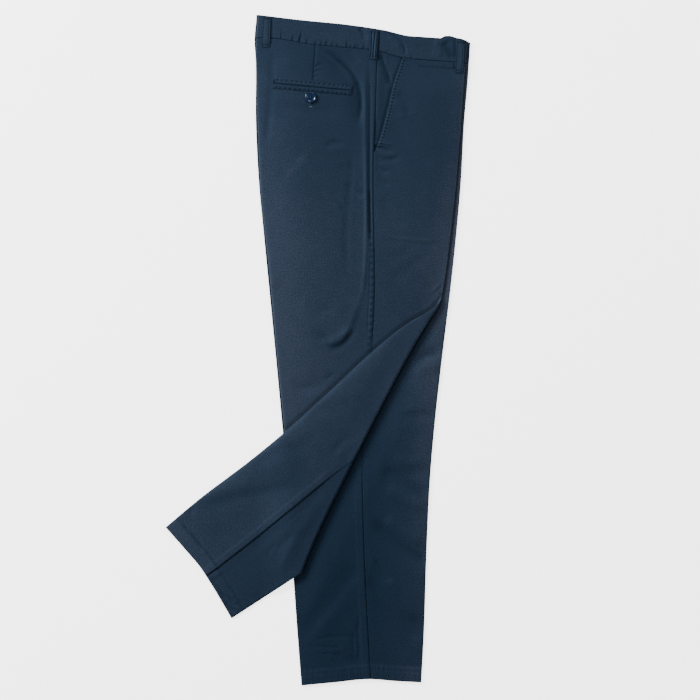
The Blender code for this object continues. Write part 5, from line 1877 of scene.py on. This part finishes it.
def grains(centres, directions, length=STITCH_LENGTH, radius=THREAD_RADIUS, sink=0.55, rings=5, around=6):
    """Capsules: at t from -1 to 1 the axis point is centre + t * length / 2 * direction, sunk by
    sink * t^2 diameters, and the radius is radius * sqrt(1 - 0.9 t^4)."""
    t = np.linspace(-1, 1, rings)
    angle = np.arange(around) * 2 * pi / around
    aside = np.cross(directions, (0.0, 0.0, 1.0))
    aside /= np.linalg.norm(aside, axis=1, keepdims=True)
    up = np.cross(aside, directions)
    axis = centres[:, None] + directions[:, None] * (t * length / 2)[None, :, None]
    axis = axis - up[:, None] * (sink * t**2 * radius * 2)[None, :, None]
    size = radius * np.sqrt(1 - 0.9 * t**4)
    out = aside[:, None, None] * np.cos(angle)[:, None] + up[:, None, None] * np.sin(angle)[:, None]
    points = axis[:, :, None] + out * size[None, :, None, None]
    first = (np.arange(len(centres)) * rings * around)[:, None]
    walls = np.array(grid_quads(rings, around, closed=True))[None] + first[:, None]
    low = np.arange(around) + first
    high = np.arange(around)[::-1] + first + (rings - 1) * around
    around_and_along = (angle * radius, t[:, None] * length / 2, centres[:, :1, None])
    uv = np.stack(np.broadcast_arrays(*around_and_along)[:2], axis=-1)
    return points.reshape(-1, 3), [*walls.reshape(-1, 4).tolist(), *low.tolist(), *high.tolist()], uv


def along_path(points, pitch=STITCH_PITCH):
    """Centres and directions at even steps of length along a line of points in 3D."""
    length = np.concatenate(([0.0], np.cumsum(np.linalg.norm(np.diff(points, axis=0), axis=1))))
    at = np.arange(pitch / 2, length[-1] - pitch / 4, pitch)
    centres, ahead, behind = (
        np.stack([np.interp(at + pitch * step, length, points[:, i]) for i in range(3)], axis=1)
        for step in (0.0, 0.3, -0.3))
    directions = ahead - behind
    return centres, directions / np.linalg.norm(directions, axis=1, keepdims=True)


def sew(name, lines, rub=0.02, slot="twill", **sizes):
    """One object with all the grains of these lines, each given as centres and directions in mm."""
    centres, directions = (np.concatenate([line[i] for line in lines]) for i in (0, 1))
    points, faces, uv = grains(centres, directions, **sizes)
    item = new_mesh(name, to_frame(points), faces, THREAD, uv, rub=np.full(len(points), rub))
    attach(item, "root")
    print(f"{name}: {len(centres)} stitches")


print("thread", 2 * THREAD_RADIUS, "mm thick")

# %% [markdown]
# Where the sewing shows: along the top of the waistband, beside the pocket mouth, round the welts, on
# the belt loops, and round both hems.

# %% Rows of stitches
band_x = np.linspace(-98, 243, 400)
sew("waistband_stitches", [along_path(on_band(band_x, curve(WAIST_TOP, band_x) - TOP_STITCH))])

mouth_y = np.linspace(float(curve(WAIST_SEAM, 140.0)) - 1.0, MOUTH_FOOT + 3.0, 200)
mouth_x = curve(POCKET_MOUTH, mouth_y) + MOUTH_STITCH
sew("pocket_mouth_stitches", [along_path(on_thigh(mouth_x, mouth_y))])

HEM_ROWS = (  # name, its ends in x, the hem's edge, the cloth it lies on
    ("right_hem_stitches", (-18, 162), RIGHT_HEM, on_folded),
    ("left_hem_stitches", (-25, 167), LEFT_HEM, on_lower),
)
for name, ends, edge, on_cloth in HEM_ROWS:
    hem_x = np.linspace(*ends, 300)
    sew(name, [along_path(on_cloth(hem_x, curve(edge, hem_x) + HEM_STITCH), HEM_PITCH)])


def strip_row(start, end, seat, share, offset, top):
    """A row of stitches along a strip, at an offset from its middle line and a height over its seat."""
    across = offset + 0 * share
    x, y = beside(start, end, share, across)
    return along_path(place_right(x, y, HALF + seat(start, end, share, across) + top))


whole = np.linspace(0.0, 1.0, 120)
sew("welt_stitches", [strip_row(start, end, welt_seat, whole, offset, ROW_SEAT)
                      for _, start, end, _, _, offset in WELTS])
most = np.linspace(0.03, 0.97, 80)
sew("belt_loop_stitches", [
    strip_row(start, end, loop_seat, most, offset, LOOP_WALL + 0.05 + shape(most, np.full(80, offset)))
    for _, start, end, shape, _, _ in LOOPS for offset in (-LOOP_STITCH, LOOP_STITCH)])

# %% [markdown]
# A bar tack is a dense block of short stitches over a few long ones. It locks the ends of a pocket or a
# belt loop, where the cloth is pulled hardest.

# %% Bar tacks and the buttonhole
TACK_PITCH = 0.55


def bar_tack(centre, along, length, lift, ground=thigh_relief):
    """Stitches laid side by side across a short line, at a lift above the hip cloth."""
    along = np.array(along, float) / np.hypot(*along)
    aside = np.array((-along[1], along[0], 0.0))
    steps = np.arange(-length / 2, length / 2 + TACK_PITCH / 2, TACK_PITCH)
    x, y = (centre[i] + along[i] * steps for i in (0, 1))
    centres = place_right(x, y, HALF + ground(x, y) + lift)
    return centres, np.broadcast_to(aside, centres.shape).copy()


TACKS = (  # middle, way that the tack runs, length, height above the hip
    ((94.6, 323.0), (0.35, 1.0), 7.0, 0.2),
    ((141.5, 480.0), (0.35, 1.0), 6.0, 0.2),
    ((-73.4, 436.0), (-0.09, -1.0), 15.0, SEAM + WELT_WALL - 0.2),
    ((54.4, 424.8), (-0.09, -1.0), 15.0, SEAM + WELT_WALL - 0.2),
    ((163.4, 471.0), (0.0, 1.0), 9.0, WATCH_WELT_WALL + 0.2),
    ((221.4, 466.0), (0.0, 1.0), 9.0, WATCH_WELT_WALL + 0.2),
)
sew("pocket_bar_tacks", [bar_tack(*row) for row in TACKS], rub=0.10, length=2.4, radius=0.28)

LOOP_TACKS = ((0.05, BAND_PROUD + 0.45), (0.94, 0.15))  # share of the loop's length, height above its wall
LOOP_TACK_LENGTH = 11.5
loop_tacks = []
for _, start, end, _, _, _ in LOOPS:
    run = np.subtract(end, start)
    for share, extra in LOOP_TACKS:
        spot = start + run * share
        lift = SEAM + LOOP_WALL + 0.1 + extra
        loop_tacks.append(bar_tack(spot, (-run[1], run[0]), LOOP_TACK_LENGTH, lift, ground=flat_relief))
sew("belt_loop_bar_tacks", loop_tacks, rub=0.02, length=2.2, radius=0.26)

HOLE_TOP = 421.0
HOLE_FOOT = 398.5
HOLE_SIDE = 1.0  # from the slit's middle to each row
HOLE_PITCH = 0.55
hole_y = np.arange(HOLE_FOOT, HOLE_TOP, HOLE_PITCH)
hole_rows = [on_thigh(BUTTON_CENTRE[0] + side + 0 * hole_y, hole_y, 0.25) for side in (-HOLE_SIDE, HOLE_SIDE)]
hole_lines = [(row, np.tile((1.0, 0.0, 0.0), (len(row), 1))) for row in hole_rows]
sew("buttonhole_stitches", hole_lines, rub=0.2, length=1.9, radius=0.26)
hole_end = bar_tack((BUTTON_CENTRE[0], HOLE_FOOT - 0.4), (1.0, 0.0), 3.6, 0.35)
sew("buttonhole_end", [hole_end], rub=1.0, length=2.0, radius=0.3)

# %% [markdown]
# The button is held by two crossing bundles of thread through its four holes.

# %% Button thread
BUNDLES = ((pi / 4, 1.95), (3 * pi / 4, 2.15))  # way that each bundle runs, height above the seat
THREADS_ASIDE = (-0.42, 0.0, 0.42)
thread_lines = []
for angle, lift in BUNDLES:
    along = np.array((np.cos(angle), np.sin(angle), 0.0))
    for offset in THREADS_ASIDE:
        centre = button_seat + np.array((-along[1] * offset, along[0] * offset, lift))
        thread_lines.append((centre[None], along[None]))
sew("button_thread", thread_lines, rub=0.12, slot="button", length=4.4, radius=0.26, sink=2.6, rings=9)
